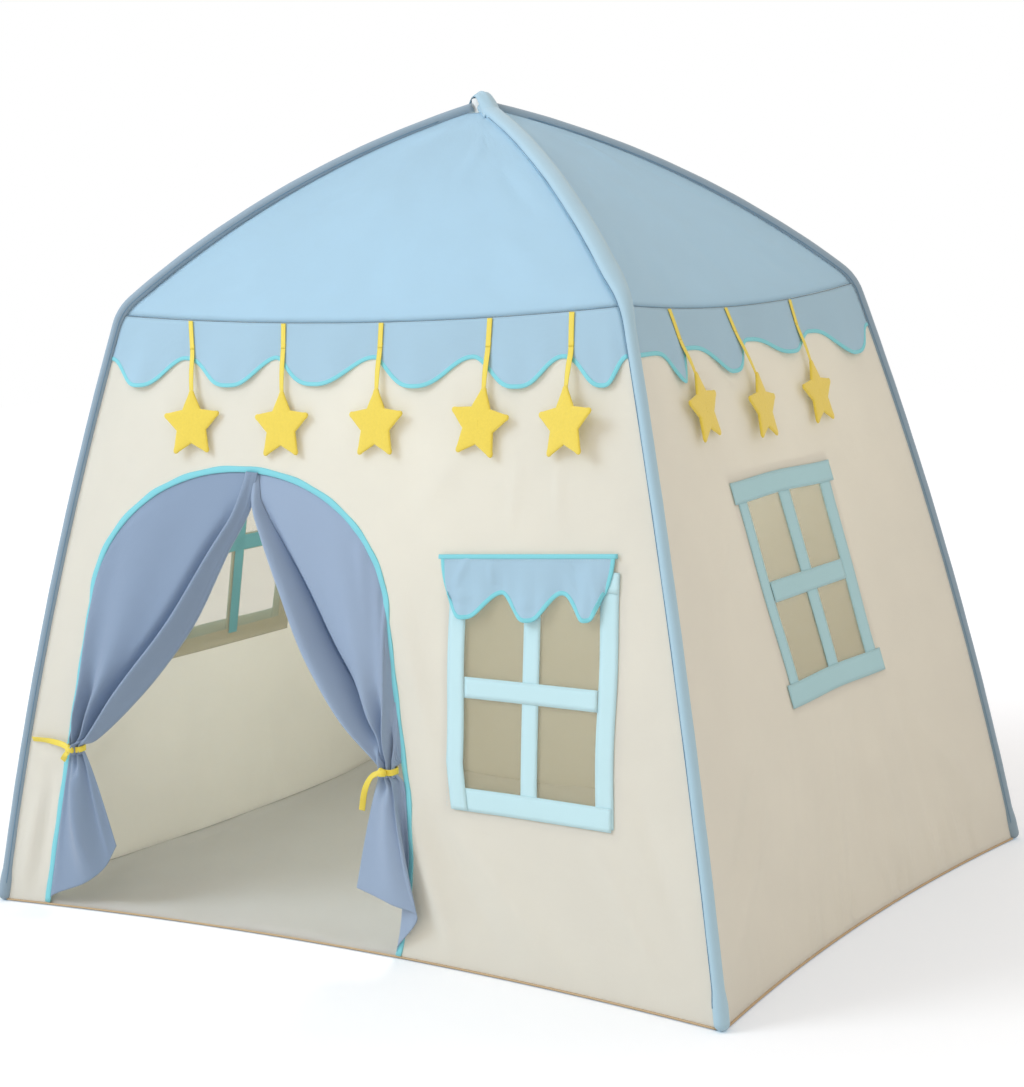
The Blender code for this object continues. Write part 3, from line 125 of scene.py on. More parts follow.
# A tip and a notch as turns and shares of the radius, and the rim as insets and heights
STAR_TIP = ((-0.120, 0.850), (-0.080, 0.930), (-0.030, 0.975), (0.030, 0.975), (0.080, 0.930), (0.120, 0.850))
STAR_NOTCH = ((-0.085, 0.555), (-0.028, 0.531), (0.028, 0.531), (0.085, 0.555))
STAR_PROFILE = ((0.55, 1.04), (0.88, 1.0), (0.965, 0.82), (1.0, 0.35))
STAR_STANDOFF = 0.0075
STAR_TWIST_ROOM = 0.75
STAR_STITCH_REACH = 0.007
STAR_STITCH_LIFT = 0.53
STAR_STITCH_POINTS = 8
STAR_SLOPE_STEP = 0.01
HOOK_SHARE = 0.80
HOOK_LAYER = -0.0002
RIBBON_BELOW_SEAM = 0.0008
RIBBON_LAYER = 0.0007
SEWN_END_LAYER = 0.0016
RIBBON_BEND_RISE = 0.006
RIBBON_BEND_LAYER = 0.0022
RIBBON_BOW = 0.0015
RIBBON_TURN_START = 12
RIBBON_END_SHARE = 0.82
RIBBON_POINTS = 30
RIBBON_UPPER_POINTS = 10
SEWN_END_POINTS = 14

# Windows: sizes as width and height, strips as the widths of left, right, muntin, bar, lintel and sill
WINDOW_HOLE_INSET = 0.016
WINDOW_LAYER = 0.0016
FRONT_WINDOW_SIZE = (0.279, 0.342)
RIGHT_WINDOW_SIZE = (0.287, 0.326)
LEFT_WINDOW_SIZE = (0.284, 0.332)
LINTEL_OVERHANG = 0.010
WINDOW_VALANCE_OVERHANG = 0.003
WINDOW_VALANCE_SHIFT = -0.012
WINDOW_VALANCE_RISE = 0.016
WINDOW_VALANCE_CUSP_DROP = 0.053
WINDOW_VALANCE_LOBE_DROP = 0.089
WINDOW_VALANCE_BULGE = 0.009
WINDOW_CUSP_SHARES = (-0.264, 0.425)
WINDOW_VALANCE_TILT = 0.007
WINDOW_VALANCE_LAYER = 0.0042
WINDOW_VALANCE_NARROWING = 0.085
WINDOW_VALANCE_FLUTE = 0.0012
WINDOW_VALANCE_SIDE_POWER = 6
WINDOW_VALANCE_CURL_POWERS = (1.5, 1.3)
WINDOW_VALANCE_SIDE_POINTS = 24
HEADING_REACH_SHARE = 1.03
HEADING_RISE = 0.0008
HEADING_LAYER = 0.0044
HEADING_HALF_THICKNESS = CLOTH / 2.0 + 0.0009
HEADING_STITCH_SHARE = 0.96
HEADING_STITCH_DROP = 0.0078
HEADING_STITCH_LAYER = 0.0046
HEADING_STITCH_LIFT = 0.0002
HEADING_POINTS = 60
GAUZE_BORDER = 0.022
GAUZE_THICKNESS = 0.0004
FRONT_LINTEL_SHORT = 0.001
STRIP_LAYER_STEP = 0.0011
STRIP_STEP = 0.006
STRIP_WAVE = 0.0012
STRIP_WAVE_RATES = (29.0, 24.0)
STRIP_TAPER = 0.011
STRIP_TAPER_TOP = -0.105
STRIP_TAPER_LENGTH = 0.066
BAR_BACK_LAYER = -0.0021
BAR_BACK_INSETS = (0.005, 0.002)
STRIP_END_INSET = 0.004
MUNTIN_END_INSET = 0.006
STITCH_INSET = 0.0022
STITCH_ROW_POINTS = 40
LEFT_STRIP_FOOT = 0.001
SILL_END_INSET = 0.002
GAUZE_COLUMNS = 60
GAUZE_ROWS = 70
WINDOW_SEEDS = {"front": 0.4, "right": 1.7, "left": 2.9}
FRONT_STRIPS = (0.028, 0.029, 0.027, 0.029, 0.028, 0.032)
SIDE_STRIPS = (0.026, 0.032, 0.032, 0.030, 0.031, 0.034)

# Door
DOOR_CENTRE = -0.199
DOOR_FOOT_HALF_WIDTH = 0.363
DOOR_SPRING_HALF_WIDTH = 0.279
DOOR_SPRING_HEIGHT = 0.480
DOOR_HEIGHT = 0.687
DOOR_TUCK = 0.070
DOOR_TUCK_HEIGHT = 0.230
DOOR_TUCK_POWER = 1.6
BINDING_WIDTH = 0.0078
BINDING_FOOT = 0.004
BINDING_OUTWARD = 0.0012
BINDING_UNEVEN = 0.0006
BINDING_LAYER = 0.0004
BINDING_PUCKER = 0.0005
BINDING_UNEVEN_RATE = 160.0
BINDING_PUCKER_RATE = 210.0
BINDING_PUCKER_START = 0.55
BINDING_PUCKER_BLEND = 0.1
BINDING_STEPS = (60, 110)
ARCH_RUN_STEPS = (60, 120)
DOOR_BINDING_HALF_THICKNESS = CLOTH / 2.0 + 0.0010
SEWN_EDGE_INWARD = 0.003

# Curtains
BUNCH_HALF_WIDTH = 0.0125
BUNCH_HALF_DEPTH = 0.0065
BUNCH_STANDOFF = 0.010
BUNCH_FOLDS = 3.5
LEFT_TIE_HEIGHT = 0.256
RIGHT_TIE_HEIGHT = 0.275
TIE_INSET = 0.020
TIE_WIDTH = 0.009
LEFT_PARTING = -0.165
RIGHT_PARTING = -0.174
EDGE_PULL_POWER = 3
# Free edges from the tie up to the parting, as places to the side and heights
LEFT_FREE_EDGE = ((-0.4847, 0.262), (-0.455, 0.272), (-0.394, 0.322), (-0.329, 0.387), (-0.265, 0.466),
                  (-0.210, 0.567), (-0.174, 0.629), (-0.162, 0.686))
RIGHT_FREE_EDGE = ((0.0834, 0.281), (0.070, 0.294), (0.011, 0.349), (-0.056, 0.430), (-0.107, 0.519),
                   (-0.147, 0.589), (-0.170, 0.637), (-0.176, 0.686))
TAIL_FOOT_GAP = 0.010
TAIL_EDGE_POWER = 4
TAIL_FLARE_POWER = 0.8
TAIL_TOP_DROP = 0.001
TAIL_PULL_SHARE = 0.06
TAIL_COLUMNS = 90
TAIL_ROWS = 80
TAIL_FLAT = (0.30, 0.26)
HEM_COLUMN_SHARES = (0.0, 0.22, 0.45, 0.74, 1.0)
# The tails' hems: reach to the side, rise and billow, each as a size and shares of it across the hem
LEFT_HEM = ((0.134, (0.015, 0.343, 0.634, 0.881, 1.0)), (0.096, (0.0, 0.167, 0.354, 0.656, 1.0)),
            (0.010, (0.0, 0.6, 1.0, 0.6, 0.0)))
RIGHT_HEM = ((0.058, (-0.07, 0.52, 1.0, 0.17, -0.79)), (0.094, (0.0, 0.255, 0.638, 0.83, 1.0)),
             (0.029, (0.0, 0.345, 0.55, 0.86, 1.0)))
KNOT_RADIUS = 0.0070

CORNERS = {"front_left": (-1, -1), "front_right": (1, -1), "back_right": (1, 1), "back_left": (-1, 1)}

# Soft folds of the walls: the two ends of each fold as places to the side and heights, its width
# and how far it stands out, or in where that is negative
FRONT_FOLDS = (
    (-0.615, 0.015, -0.570, 0.200, 0.012, 0.0035), (-0.590, 0.010, -0.552, 0.230, 0.013, -0.0030),
    (0.120, 0.240, 0.205, 0.015, 0.017, 0.0050), (0.150, 0.230, 0.300, 0.012, 0.020, -0.0040),
    (0.200, 0.210, 0.400, 0.014, 0.020, 0.0035), (0.560, 0.040, 0.430, 0.220, 0.016, 0.0030),
    (0.590, 0.090, 0.500, 0.300, 0.016, -0.0025), (0.100, 0.520, 0.170, 0.300, 0.016, 0.0025),
    (-0.420, 0.690, -0.330, 0.640, 0.014, 0.0016), (0.130, 0.640, 0.220, 0.740, 0.018, 0.0016),
    (0.290, 0.610, 0.300, 0.720, 0.010, 0.0014), (0.370, 0.610, 0.365, 0.730, 0.010, 0.0014),
)
SIDE_FOLDS = (
    (-0.440, 0.060, -0.250, 0.240, 0.018, 0.0040), (-0.420, 0.120, -0.230, 0.330, 0.018, -0.0030),
    (0.420, 0.080, 0.230, 0.260, 0.020, 0.0035), (0.150, 0.020, 0.100, 0.240, 0.020, 0.0030),
    (-0.120, 0.020, -0.060, 0.250, 0.020, -0.0025), (-0.300, 0.500, -0.190, 0.620, 0.016, 0.0020),
)
# The gathers along the foot of the right wall, and its soft upright creases
RIGHT_FOLDS = SIDE_FOLDS + (
    (-0.390, -0.040, -0.350, 0.070, 0.009, 0.0024), (-0.280, -0.040, -0.262, 0.080, 0.009, 0.0024),
    (-0.190, -0.050, -0.165, 0.090, 0.008, 0.0030), (-0.150, -0.040, -0.130, 0.070, 0.007, -0.0028),
    (-0.095, -0.050, -0.070, 0.100, 0.008, 0.0030), (-0.045, -0.040, -0.030, 0.060, 0.007, -0.0026),
    (0.090, -0.050, 0.080, 0.080, 0.008, 0.0030), (0.125, -0.040, 0.120, 0.060, 0.007, -0.0028),
    (0.170, -0.050, 0.150, 0.100, 0.008, 0.0028), (0.250, -0.050, 0.225, 0.110, 0.009, 0.0032),
    (0.290, -0.040, 0.270, 0.090, 0.008, -0.0030), (0.335, -0.050, 0.300, 0.130, 0.009, 0.0032),
    (0.385, -0.040, 0.350, 0.090, 0.008, -0.0028), (-0.020, 0.310, -0.050, 0.030, 0.014, 0.0030),
    (0.065, 0.320, 0.050, 0.040, 0.015, -0.0028), (0.140, 0.310, 0.165, 0.050, 0.016, 0.0030),
    (-0.150, 0.330, -0.220, 0.080, 0.017, 0.0028), (0.200, 0.330, 0.260, 0.060, 0.018, -0.0026),
)
BACK_FOLDS = (
    (-0.540, 0.050, -0.300, 0.330, 0.024, 0.0040), (0.540, 0.050, 0.300, 0.330, 0.024, 0.0040),
    (-0.100, 0.020, -0.040, 0.400, 0.026, -0.0030), (0.180, 0.020, 0.120, 0.380, 0.026, 0.0028),
)
# Creases of the front window's valance
WINDOW_VALANCE_FOLDS = (
    (0.226, 0.582, 0.200, 0.535, 0.006, 0.0016), (0.192, 0.528, 0.236, 0.526, 0.004, 0.0018),
    (0.262, 0.575, 0.268, 0.545, 0.006, 0.0014), (0.300, 0.520, 0.340, 0.521, 0.004, 0.0014),
    (0.392, 0.580, 0.412, 0.550, 0.007, -0.0014), (0.425, 0.585, 0.440, 0.530, 0.007, 0.0014),
)

# Finishes: colour as written in sRGB, roughness, sheen, thread pitch and how much light comes through
FINISHES = {
    "canvas": ((240, 238, 229), 0.92, 0.15, 0.0011, 0.30),
    "roof": ((186, 220, 239), 0.80, 0.15, 0.0009, 0.22),
    "sleeve": ((169, 202, 219), 0.60, 0.20, 0.0009, 0.0),
    # The same sleeve cloth painted darker: painted shade for the three corners whose sleeves face away from
    # the light
    "sleeve_painted_shade": ((142, 165, 182), 0.60, 0.20, 0.0009, 0.0),
    "floor": ((192, 189, 182), 0.90, 0.10, 0.0012, 0.0),
    "strip": ((206, 242, 250), 0.80, 0.15, 0.0008, 0.08),
    # The same strip cloth painted darker: painted shade for the side windows, which face away from the light
    "strip_painted_shade": ((180, 223, 232), 0.80, 0.15, 0.0008, 0.08),
    # The strip's teal painted much darker for the muntin and bar backs seen from inside: painted shade
    "bar_back_painted_shade": ((98, 156, 160), 0.80, 0.15, 0.0008, 0.0),
    "binding": ((128, 212, 224), 0.65, 0.20, 0.0008, 0.0),
    "curtain": ((155, 176, 203), 0.75, 0.25, 0.0009, 0.06),
    # The same curtain cloth painted darker: painted shade for the left curtain and its tail
    "curtain_painted_shade": ((138, 159, 186), 0.75, 0.25, 0.0009, 0.06),
    "ribbon": ((238, 216, 74), 0.42, 0.10, 0.0006, 0.0),
    "piping": ((196, 170, 134), 0.85, 0.10, 0.0008, 0.0),
    "seam": ((112, 146, 172), 0.85, 0.10, 0.0008, 0.0),
    "thread": ((214, 238, 243), 0.70, 0.10, 0.0006, 0.0),
}


# Materials

def linear(colour):
    """Linear colour of one that is written in sRGB, from 0 to 255."""
    shares = [value / 255.0 for value in colour]
    return tuple(s / 12.92 if s <= 0.04045 else ((s + 0.055) / 1.055) ** 2.4 for s in shares)


class Nodes:
    """Adds nodes to the tree of a material or of the world, and joins them."""

    def __init__(self, owner):
        owner.use_nodes = True
        self.owner = owner
        self.tree = owner.node_tree
        self.shader = self.tree.nodes.get("Principled BSDF") or self.tree.nodes["Background"]

    def fill(self, node, inputs):
        """Sets or links inputs of a node by their names or places."""
        for key, value in inputs.items():
            socket = node.inputs[key]
            if isinstance(value, bpy.types.NodeSocket):
                self.tree.links.new(value, socket)
            else:
                socket.default_value = value
        return node

    def add(self, kind, settings, inputs):
        """A node of a kind, with its settings and with values or links for its inputs."""
        node = self.tree.nodes.new(kind)
        for key, value in settings.items():
            setattr(node, key, value)
        return self.fill(node, inputs)

    def math(self, operation, first, second):
        """The outcome of a calculation with two numbers or links."""
        return self.add("ShaderNodeMath", {"operation": operation}, {0: first, 1: second}).outputs[0]

    def noise(self, place, scale, detail=2.0, roughness=0.5):
        """Soft noise of a scale, from 0 to 1."""
        inputs = {"Vector": place, "Scale": scale, "Detail": detail, "Roughness": roughness}
        return self.add("ShaderNodeTexNoise", {}, inputs).outputs["Fac"]

    def threads(self, place, pitch, distortion):
        """Waves of threads at a pitch, both ways."""
        inputs = {"Vector": place, "Scale": math.tau / (WAVE_TURN * pitch), "Distortion": distortion}
        return [self.add("ShaderNodeTexWave", {"bands_direction": direction}, inputs).outputs["Fac"]
                for direction in "XY"]

    def cloth_place(self):
        """Places on the flat cloth."""
        return self.add("ShaderNodeUVMap", {"uv_map": "cloth"}, {}).outputs[0]

    def solid_place(self):
        """Places in the piece's own directions."""
        return self.add("ShaderNodeTexCoord", {}, {}).outputs["Object"]

    def mixed(self, share, first, second):
        """A colour between two, by a share."""
        return self.add("ShaderNodeMix", {"data_type": 'RGBA'}, {0: share, 6: first, 7: second}).outputs[2]

    def shade(self, colour, factor, tones):
        """The colour made darker or lighter by a factor from 0 to 1."""
        low, high = [(*(min(1.0, value * tone) for value in linear(colour)), 1.0) for tone in tones]
        return self.mixed(factor, low, high)

    def bump(self, height):
        """Surface direction from a height in metres."""
        return self.add("ShaderNodeBump", {}, {"Strength": 1.0, "Distance": 1.0, "Height": height}).outputs[0]

    def show(self, share, first, second):
        """Sends a mix of two shaders to the surface."""
        mix = self.add("ShaderNodeMixShader", {}, {0: share, 1: first.outputs[0], 2: second.outputs[0]})
        self.fill(self.tree.nodes["Material Output"], {"Surface": mix.outputs[0]})


WAVE_TURN = 20.0
MOTTLE_SCALE = 7.0
CRUMPLE_SCALE = 38.0
FIBRE_SCALE = 900.0
TUFT_SCALE = 260.0
THREAD_DISTORTION = 0.6
THREAD_RELIEF = 0.00006
CRUMPLE_RELIEF = 0.0006
FELT_RELIEF = 0.0005
GAUZE_RELIEF = 0.0002
GRAIN_RELIEF = 0.00004
FELT_COLOUR = (239, 214, 77)
GAUZE_COLOUR = (188, 181, 150)
GAUZE_PITCH = 0.0022
GAUZE_COVER = 0.40
# Darkest and lightest tone of each kind, as shares of its colour
CLOTH_TONES = (0.95, 1.05)
FELT_TONES = (0.86, 1.08)
GAUZE_TONES = (0.80, 1.05)
RIGID_TONES = (0.92, 1.05)


def cloth_material(name):
    """Woven cloth: threads both ways, soft crumples, an uneven dye and a faint sheen."""
    colour, roughness, sheen, pitch, through = FINISHES[name]
    nodes = Nodes(bpy.data.materials.new(f"{name}_cloth"))
    place = nodes.cloth_place()
    weave = nodes.math('ADD', *nodes.threads(place, pitch, THREAD_DISTORTION))
    weave = nodes.math('MULTIPLY', weave, THREAD_RELIEF)
    crumple = nodes.math('MULTIPLY', nodes.noise(place, CRUMPLE_SCALE, 3.0), CRUMPLE_RELIEF)
    mottle = nodes.math('MULTIPLY', nodes.noise(place, MOTTLE_SCALE, 3.0), 0.7)
    fibre = nodes.math('MULTIPLY', nodes.noise(place, FIBRE_SCALE, 1.0), 0.3)
    dyed = nodes.shade(colour, nodes.math('ADD', mottle, fibre), CLOTH_TONES)
    relief = nodes.bump(nodes.math('ADD', weave, crumple))
    nodes.fill(nodes.shader, {"Base Color": dyed, "Roughness": roughness, "Sheen Weight": sheen,
                              "Sheen Roughness": 0.5, "Normal": relief})
    if through:
        glow = nodes.add("ShaderNodeBsdfTranslucent", {}, {"Color": dyed, "Normal": relief})
        nodes.show(through, nodes.shader, glow)
    return nodes.owner


def felt_material():
    """Matted wool felt with short fibres."""
    nodes = Nodes(bpy.data.materials.new("felt_wool"))
    place = nodes.solid_place()
    fibre = nodes.math('MULTIPLY', nodes.noise(place, FIBRE_SCALE, 3.0, 0.6), 0.5)
    tufts = nodes.math('MULTIPLY', nodes.noise(place, TUFT_SCALE), 0.5)
    tone = nodes.math('ADD', fibre, tufts)
    nodes.fill(nodes.shader, {"Base Color": nodes.shade(FELT_COLOUR, tone, FELT_TONES), "Roughness": 0.95,
                              "Sheen Weight": 0.35, "Sheen Roughness": 0.6,
                              "Normal": nodes.bump(nodes.math('MULTIPLY', tone, FELT_RELIEF))})
    return nodes.owner


def gauze_material():
    """Fine window gauze: a woven grid of threads that lets some of the view through."""
    nodes = Nodes(bpy.data.materials.new("mesh_gauze"))
    net = nodes.math('MAXIMUM', *nodes.threads(nodes.cloth_place(), GAUZE_PITCH, 0.0))
    nodes.fill(nodes.shader, {"Base Color": nodes.shade(GAUZE_COLOUR, net, GAUZE_TONES), "Roughness": 0.9,
                              "Normal": nodes.bump(nodes.math('MULTIPLY', net, GAUZE_RELIEF))})
    nodes.show(GAUZE_COVER, nodes.add("ShaderNodeBsdfTransparent", {}, {}), nodes.shader)
    return nodes.owner


def rigid_material(name, colour, metallic, roughness, grain):
    """Drawn metal tube or moulded plastic with a fine grain."""
    nodes = Nodes(bpy.data.materials.new(name))
    fine = nodes.noise(nodes.solid_place(), grain, 3.0)
    spread = nodes.math('ADD', nodes.math('MULTIPLY', fine, 0.16), roughness)
    nodes.fill(nodes.shader, {"Base Color": nodes.shade(colour, fine, RIGID_TONES), "Metallic": metallic,
                              "Roughness": spread,
                              "Normal": nodes.bump(nodes.math('MULTIPLY', fine, GRAIN_RELIEF))})
    return nodes.owner


MATERIALS = {name: cloth_material(name) for name in FINISHES}
MATERIALS["felt"] = felt_material()
MATERIALS["mesh"] = gauze_material()
MATERIALS["pole"] = rigid_material("pole_steel", (168, 172, 176), 0.85, 0.30, 420.0)
MATERIALS["plastic"] = rigid_material("plastic_moulded", (236, 238, 236), 0.0, 0.38, 300.0)


# Shares, waves and directions

def clip(value):
    """The value held between 0 and 1."""
    return np.clip(value, 0.0, 1.0)


def bell(off, width):
    """1 in the middle, fading to both sides over a width."""
    return np.exp(-(off / width) ** 2)


def even(count):
    """Shares from 0 to 1 in even steps."""
    return np.linspace(0.0, 1.0, count)


def unit(rows):
    """Directions of length 1."""
    return rows / np.linalg.norm(rows, axis=-1, keepdims=True)


def run_lengths(path):
    """How far along a path each of its points lies."""
    return np.concatenate([[0.0], np.cumsum(np.linalg.norm(np.diff(path, axis=0), axis=1))])


def swells(random, count, slowest, fastest):
    """Rates, directions and phases of slow waves."""
    return [(random.uniform(slowest, fastest), random.uniform(0.0, math.pi), random.uniform(0.0, math.tau))
            for _ in range(count)]


def swell_at(waves, x, y):
    """The sum of slow waves at places."""
    return sum(np.sin(rate * (x * math.cos(turn) + y * math.sin(turn)) + phase)
               for rate, turn, phase in waves)


def smooth_interp(share, places, values):
    """A smooth line through values at places."""
    places, values = np.array(places, float), np.array(values, float)
    slopes = np.gradient(values, places)
    index = np.clip(np.searchsorted(places, share, side="right") - 1, 0, len(places) - 2)
    width = places[index + 1] - places[index]
    t = (share - places[index]) / width
    return ((2 * t ** 3 - 3 * t ** 2 + 1) * values[index] + (t ** 3 - 2 * t ** 2 + t) * width * slopes[index]
            + (-2 * t ** 3 + 3 * t ** 2) * values[index + 1] + (t ** 3 - t ** 2) * width * slopes[index + 1])


# Meshes

def placed(name, data):
    """A new object in the scene."""
    made = bpy.data.objects.new(name, data)
    bpy.context.scene.collection.objects.link(made)
    return made


def finished(bm, name):
    """A new mesh from a working mesh, which ends here."""
    mesh = bpy.data.meshes.new(name)
    bm.to_mesh(mesh)
    bm.free()
    return mesh


def add_piece(name, mesh, finish, replaced=()):
    """Puts a mesh into the scene with its finish, as the piece that stands for some solids."""
    mesh.materials.clear()
    mesh.materials.append(MATERIALS[finish])
    piece = placed(name, mesh)
    if replaced:
        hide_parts(*replaced)
    return piece


def settle(piece):
    """Gives a piece the mesh that its modifiers make."""
    bpy.context.view_layer.update()
    graph = bpy.context.evaluated_depsgraph_get()
    made = bpy.data.meshes.new_from_object(piece.evaluated_get(graph), preserve_all_data_layers=True,
                                           depsgraph=graph)
    old = piece.data
    piece.modifiers.clear()
    piece.data = made
    bpy.data.meshes.remove(old)
    return piece


def grid_mesh(name, columns, rows, place, flat):
    """A grid whose shares across and along are moved into place; its UV is in metres of cloth."""
    bm = bmesh.new()
    bm.loops.layers.uv.new("cloth")
    bmesh.ops.create_grid(bm, x_segments=columns, y_segments=rows, size=1.0, calc_uvs=True)
    mesh = finished(bm, name)
    points = np.empty(len(mesh.vertices) * 3)
    mesh.vertices.foreach_get("co", points)
    shares = (points.reshape(-1, 3)[:, :2] + 1.0) / 2.0
    points = np.ascontiguousarray(place(shares[:, 0], shares[:, 1]), dtype=float)
    mesh.vertices.foreach_set("co", points.ravel())
    places = np.empty(len(mesh.loops) * 2)
    mesh.uv_layers[0].data.foreach_get("uv", places)
    places = places.reshape(-1, 2) * np.array(flat)
    mesh.uv_layers[0].data.foreach_set("uv", places.ravel())
    mesh.shade_smooth()
    mesh.update()
    return mesh


def one_side_area(mesh):
    """Area of an open sheet's mesh."""
    areas = np.empty(len(mesh.polygons))
    mesh.polygons.foreach_get("area", areas)
    return float(areas.sum())


def cloth_piece(name, mesh, finish, thickness, replaced=()):
    """A piece of cloth: the grid with its thickness."""
    return thicken(add_piece(name, mesh, finish, replaced), thickness)


def thicken(piece, thickness):
    """Gives a sheet its thickness, half on each side."""
    step = piece.modifiers.new("thickness", 'SOLIDIFY')
    step.thickness = thickness
    step.offset = 0.0
    return settle(piece)


def sweep_mesh(name, rings, closed=False):
    """A tube through rings of points; its ends are filled unless the path closes on itself."""
    count, sides = rings.shape[:2]
    rows = count if closed else count - 1

    def place(a, b):
        column = np.rint(a * sides).astype(int) % sides
        row = np.rint(b * rows).astype(int) % count
        return rings[row, column]

    middle = rings.mean(axis=1)
    length = float(np.linalg.norm(np.diff(middle, axis=0), axis=1).sum())
    around = float(np.linalg.norm(np.diff(rings[0], axis=0, append=rings[0][:1]), axis=1).sum())
    mesh = grid_mesh(name, sides, rows, place, (around, length))
    bm = bmesh.new()
    bm.from_mesh(mesh)
    bmesh.ops.remove_doubles(bm, verts=bm.verts, dist=0.000001)
    edges = [edge for edge in bm.edges if edge.is_boundary]
    if edges:
        bmesh.ops.holes_fill(bm, edges=edges, sides=0)
    bmesh.ops.recalc_face_normals(bm, faces=bm.faces)
    for face in bm.faces:
        face.smooth = True
    bm.to_mesh(mesh)
    bm.free()
    return mesh


def mirrored(half):
    """A section's upper half and then its lower half, backwards."""
    return (*half, *((across, -up) for across, up in reversed(half)))


TAPE_SECTION_SHARES = mirrored(((0.0, 0.6), (0.1, 1.0), (0.5, 1.12), (0.9, 1.0), (1.0, 0.6)))
BINDING_SECTION_SHARES = mirrored(((0.0, 0.75), (0.12, 1.0), (0.5, 1.1), (0.88, 1.0), (1.05, 0.45)))


def tape_mesh(name, inner, outer, normals, half_thickness, section=TAPE_SECTION_SHARES, closed=False):
    """A flat tape between two lines of points, with soft edges."""
    rings = np.stack([inner + (outer - inner) * across + normals * half_thickness * up
                      for across, up in section], axis=1)
    return sweep_mesh(name, rings, closed)


def circle(count):
    """Angles in even steps once round."""
    return np.linspace(0.0, math.tau, count, endpoint=False)


def round_mesh(name, path, radius, sides=8):
    """A round cord along a path of points."""
    tangents = unit(np.gradient(path, axis=0))
    first = unit(np.cross(tangents, UP))
    second = np.cross(tangents, first)
    rings = [path + (first * math.cos(angle) + second * math.sin(angle)) * radius for angle in circle(sides)]
    return sweep_mesh(name, np.stack(rings, axis=1))


def joined(name, meshes, finish, replaced=()):
    """One piece from several meshes."""
    bm = bmesh.new()
    for mesh in meshes:
        bm.from_mesh(mesh)
    made = finished(bm, name)
    for mesh in meshes:
        bpy.data.meshes.remove(mesh)
    return add_piece(name, made, finish, replaced)


STITCH_LENGTH = 0.0026
STITCH_PITCH = 0.0044
STITCH_RADIUS = 0.00032


def stitch_mesh(name, path, normals, lift):
    """A row of stitches along a path: a short bead of thread for each."""
    lengths = run_lengths(path)
    count = max(1, int(lengths[-1] / STITCH_PITCH))
    middles = (np.arange(count) + 0.5) * lengths[-1] / count

    def at(run, values):
        return np.stack([np.interp(run, lengths, values[:, k]) for k in range(3)], axis=1)

    starts, ends = at(middles - STITCH_LENGTH / 2.0, path), at(middles + STITCH_LENGTH / 2.0, path)
    out = unit(at(middles, normals))
    along = ends - starts
    bm = bmesh.new()
    bmesh.ops.create_uvsphere(bm, u_segments=5, v_segments=4, radius=1.0)
    bm.verts.ensure_lookup_table()
    ball = np.array([vertex.co for vertex in bm.verts])
    faces = [[vertex.index for vertex in face.verts] for face in bm.faces]
    bm.free()
    side = unit(np.cross(along, out))
    centres = (starts + ends) / 2.0 + out * lift
    beads = [centre + ball[:, :1] * s * STITCH_RADIUS + ball[:, 1:2] * o * STITCH_RADIUS
             + ball[:, 2:] * run / 2.0 for centre, s, o, run in zip(centres, side, out, along)]
    mesh = bpy.data.meshes.new(name)
    corners = [[index + start * len(ball) for index in face] for start in range(count) for face in faces]
    mesh.from_pydata(np.concatenate(beads).tolist(), [], corners)
    mesh.uv_layers.new(name="cloth")
    mesh.shade_smooth()
    return mesh


# The pole line

BASE_HALF_DIAGONAL = math.hypot(BASE_HALF_WIDTH, BASE_HALF_DEPTH)
WIDTH_SHARE = BASE_HALF_WIDTH / BASE_HALF_DIAGONAL
DEPTH_SHARE = BASE_HALF_DEPTH / BASE_HALF_DIAGONAL
EAVE_POINT = np.array([EAVE_HALF_WIDTH / WIDTH_SHARE, EAVE_HEIGHT])
SEAM_HEIGHT = EAVE_HEIGHT - SEAM_BELOW_EAVE


def bowed(start, end, bulge, steps):
    """Points from start to end that stand out from the straight line by the bulge."""
    run = end - start
    normal = np.array([run[1], -run[0]]) / np.linalg.norm(run)
    shares = even(steps + 1)[:, None]
    return start + run * shares + normal * bulge * 4.0 * shares * (1.0 - shares)


def pole_line():
    """Distance from the middle and height along one corner's poles, from ground to crown."""
    foot = np.array([BASE_HALF_DIAGONAL, 0.0])
    crown = np.array([0.0, CROWN_HEIGHT])
    leg = bowed(foot, EAVE_POINT, LEG_BULGE, LINE_STEPS)
    roof = bowed(EAVE_POINT, crown, ROOF_BULGE, LINE_STEPS)
    leg = leg[np.linalg.norm(leg - EAVE_POINT, axis=1) > EAVE_BEND_REACH]
    roof = roof[np.linalg.norm(roof - EAVE_POINT, axis=1) > EAVE_BEND_REACH]
    turn = [leg[-1] * (1 - t) ** 2 + EAVE_POINT * 2 * t * (1 - t) + roof[0] * t ** 2
            for t in even(TURN_STEPS + 1)[1:-1]]
    return np.vstack([leg, turn, roof])


LINE = pole_line()
LINE_DISTANCE = run_lengths(LINE)
LINE_END = float(LINE_DISTANCE[-1])
EAVE_DISTANCE = float(LINE_DISTANCE[np.argmin(np.linalg.norm(LINE - EAVE_POINT, axis=1))])


def line_at(distance):
    """Distances from the middle and heights at distances along the pole line."""
    return np.interp(distance, LINE_DISTANCE, LINE[:, 0]), np.interp(distance, LINE_DISTANCE, LINE[:, 1])


def distance_at_height(height):
    """Distances along the pole line at heights."""
    return np.interp(height, LINE[:, 1], LINE_DISTANCE)


def distance_from_crown(reach):
    """Distance along the pole line where it is this far out from the middle."""
    return LINE_END - float(np.interp(reach, LINE[::-1, 0], LINE_END - LINE_DISTANCE[::-1]))


def sleeve_radius(distance):
    """How far the sleeve reaches from the pole line, where the cloth meets it."""
    return np.interp(distance, [EAVE_DISTANCE - EAVE_BEND_REACH, EAVE_DISTANCE + EAVE_BEND_REACH],
                     [LEG_SEAM_RADIUS, ROOF_SLEEVE_RADIUS])


# The faces of the cover

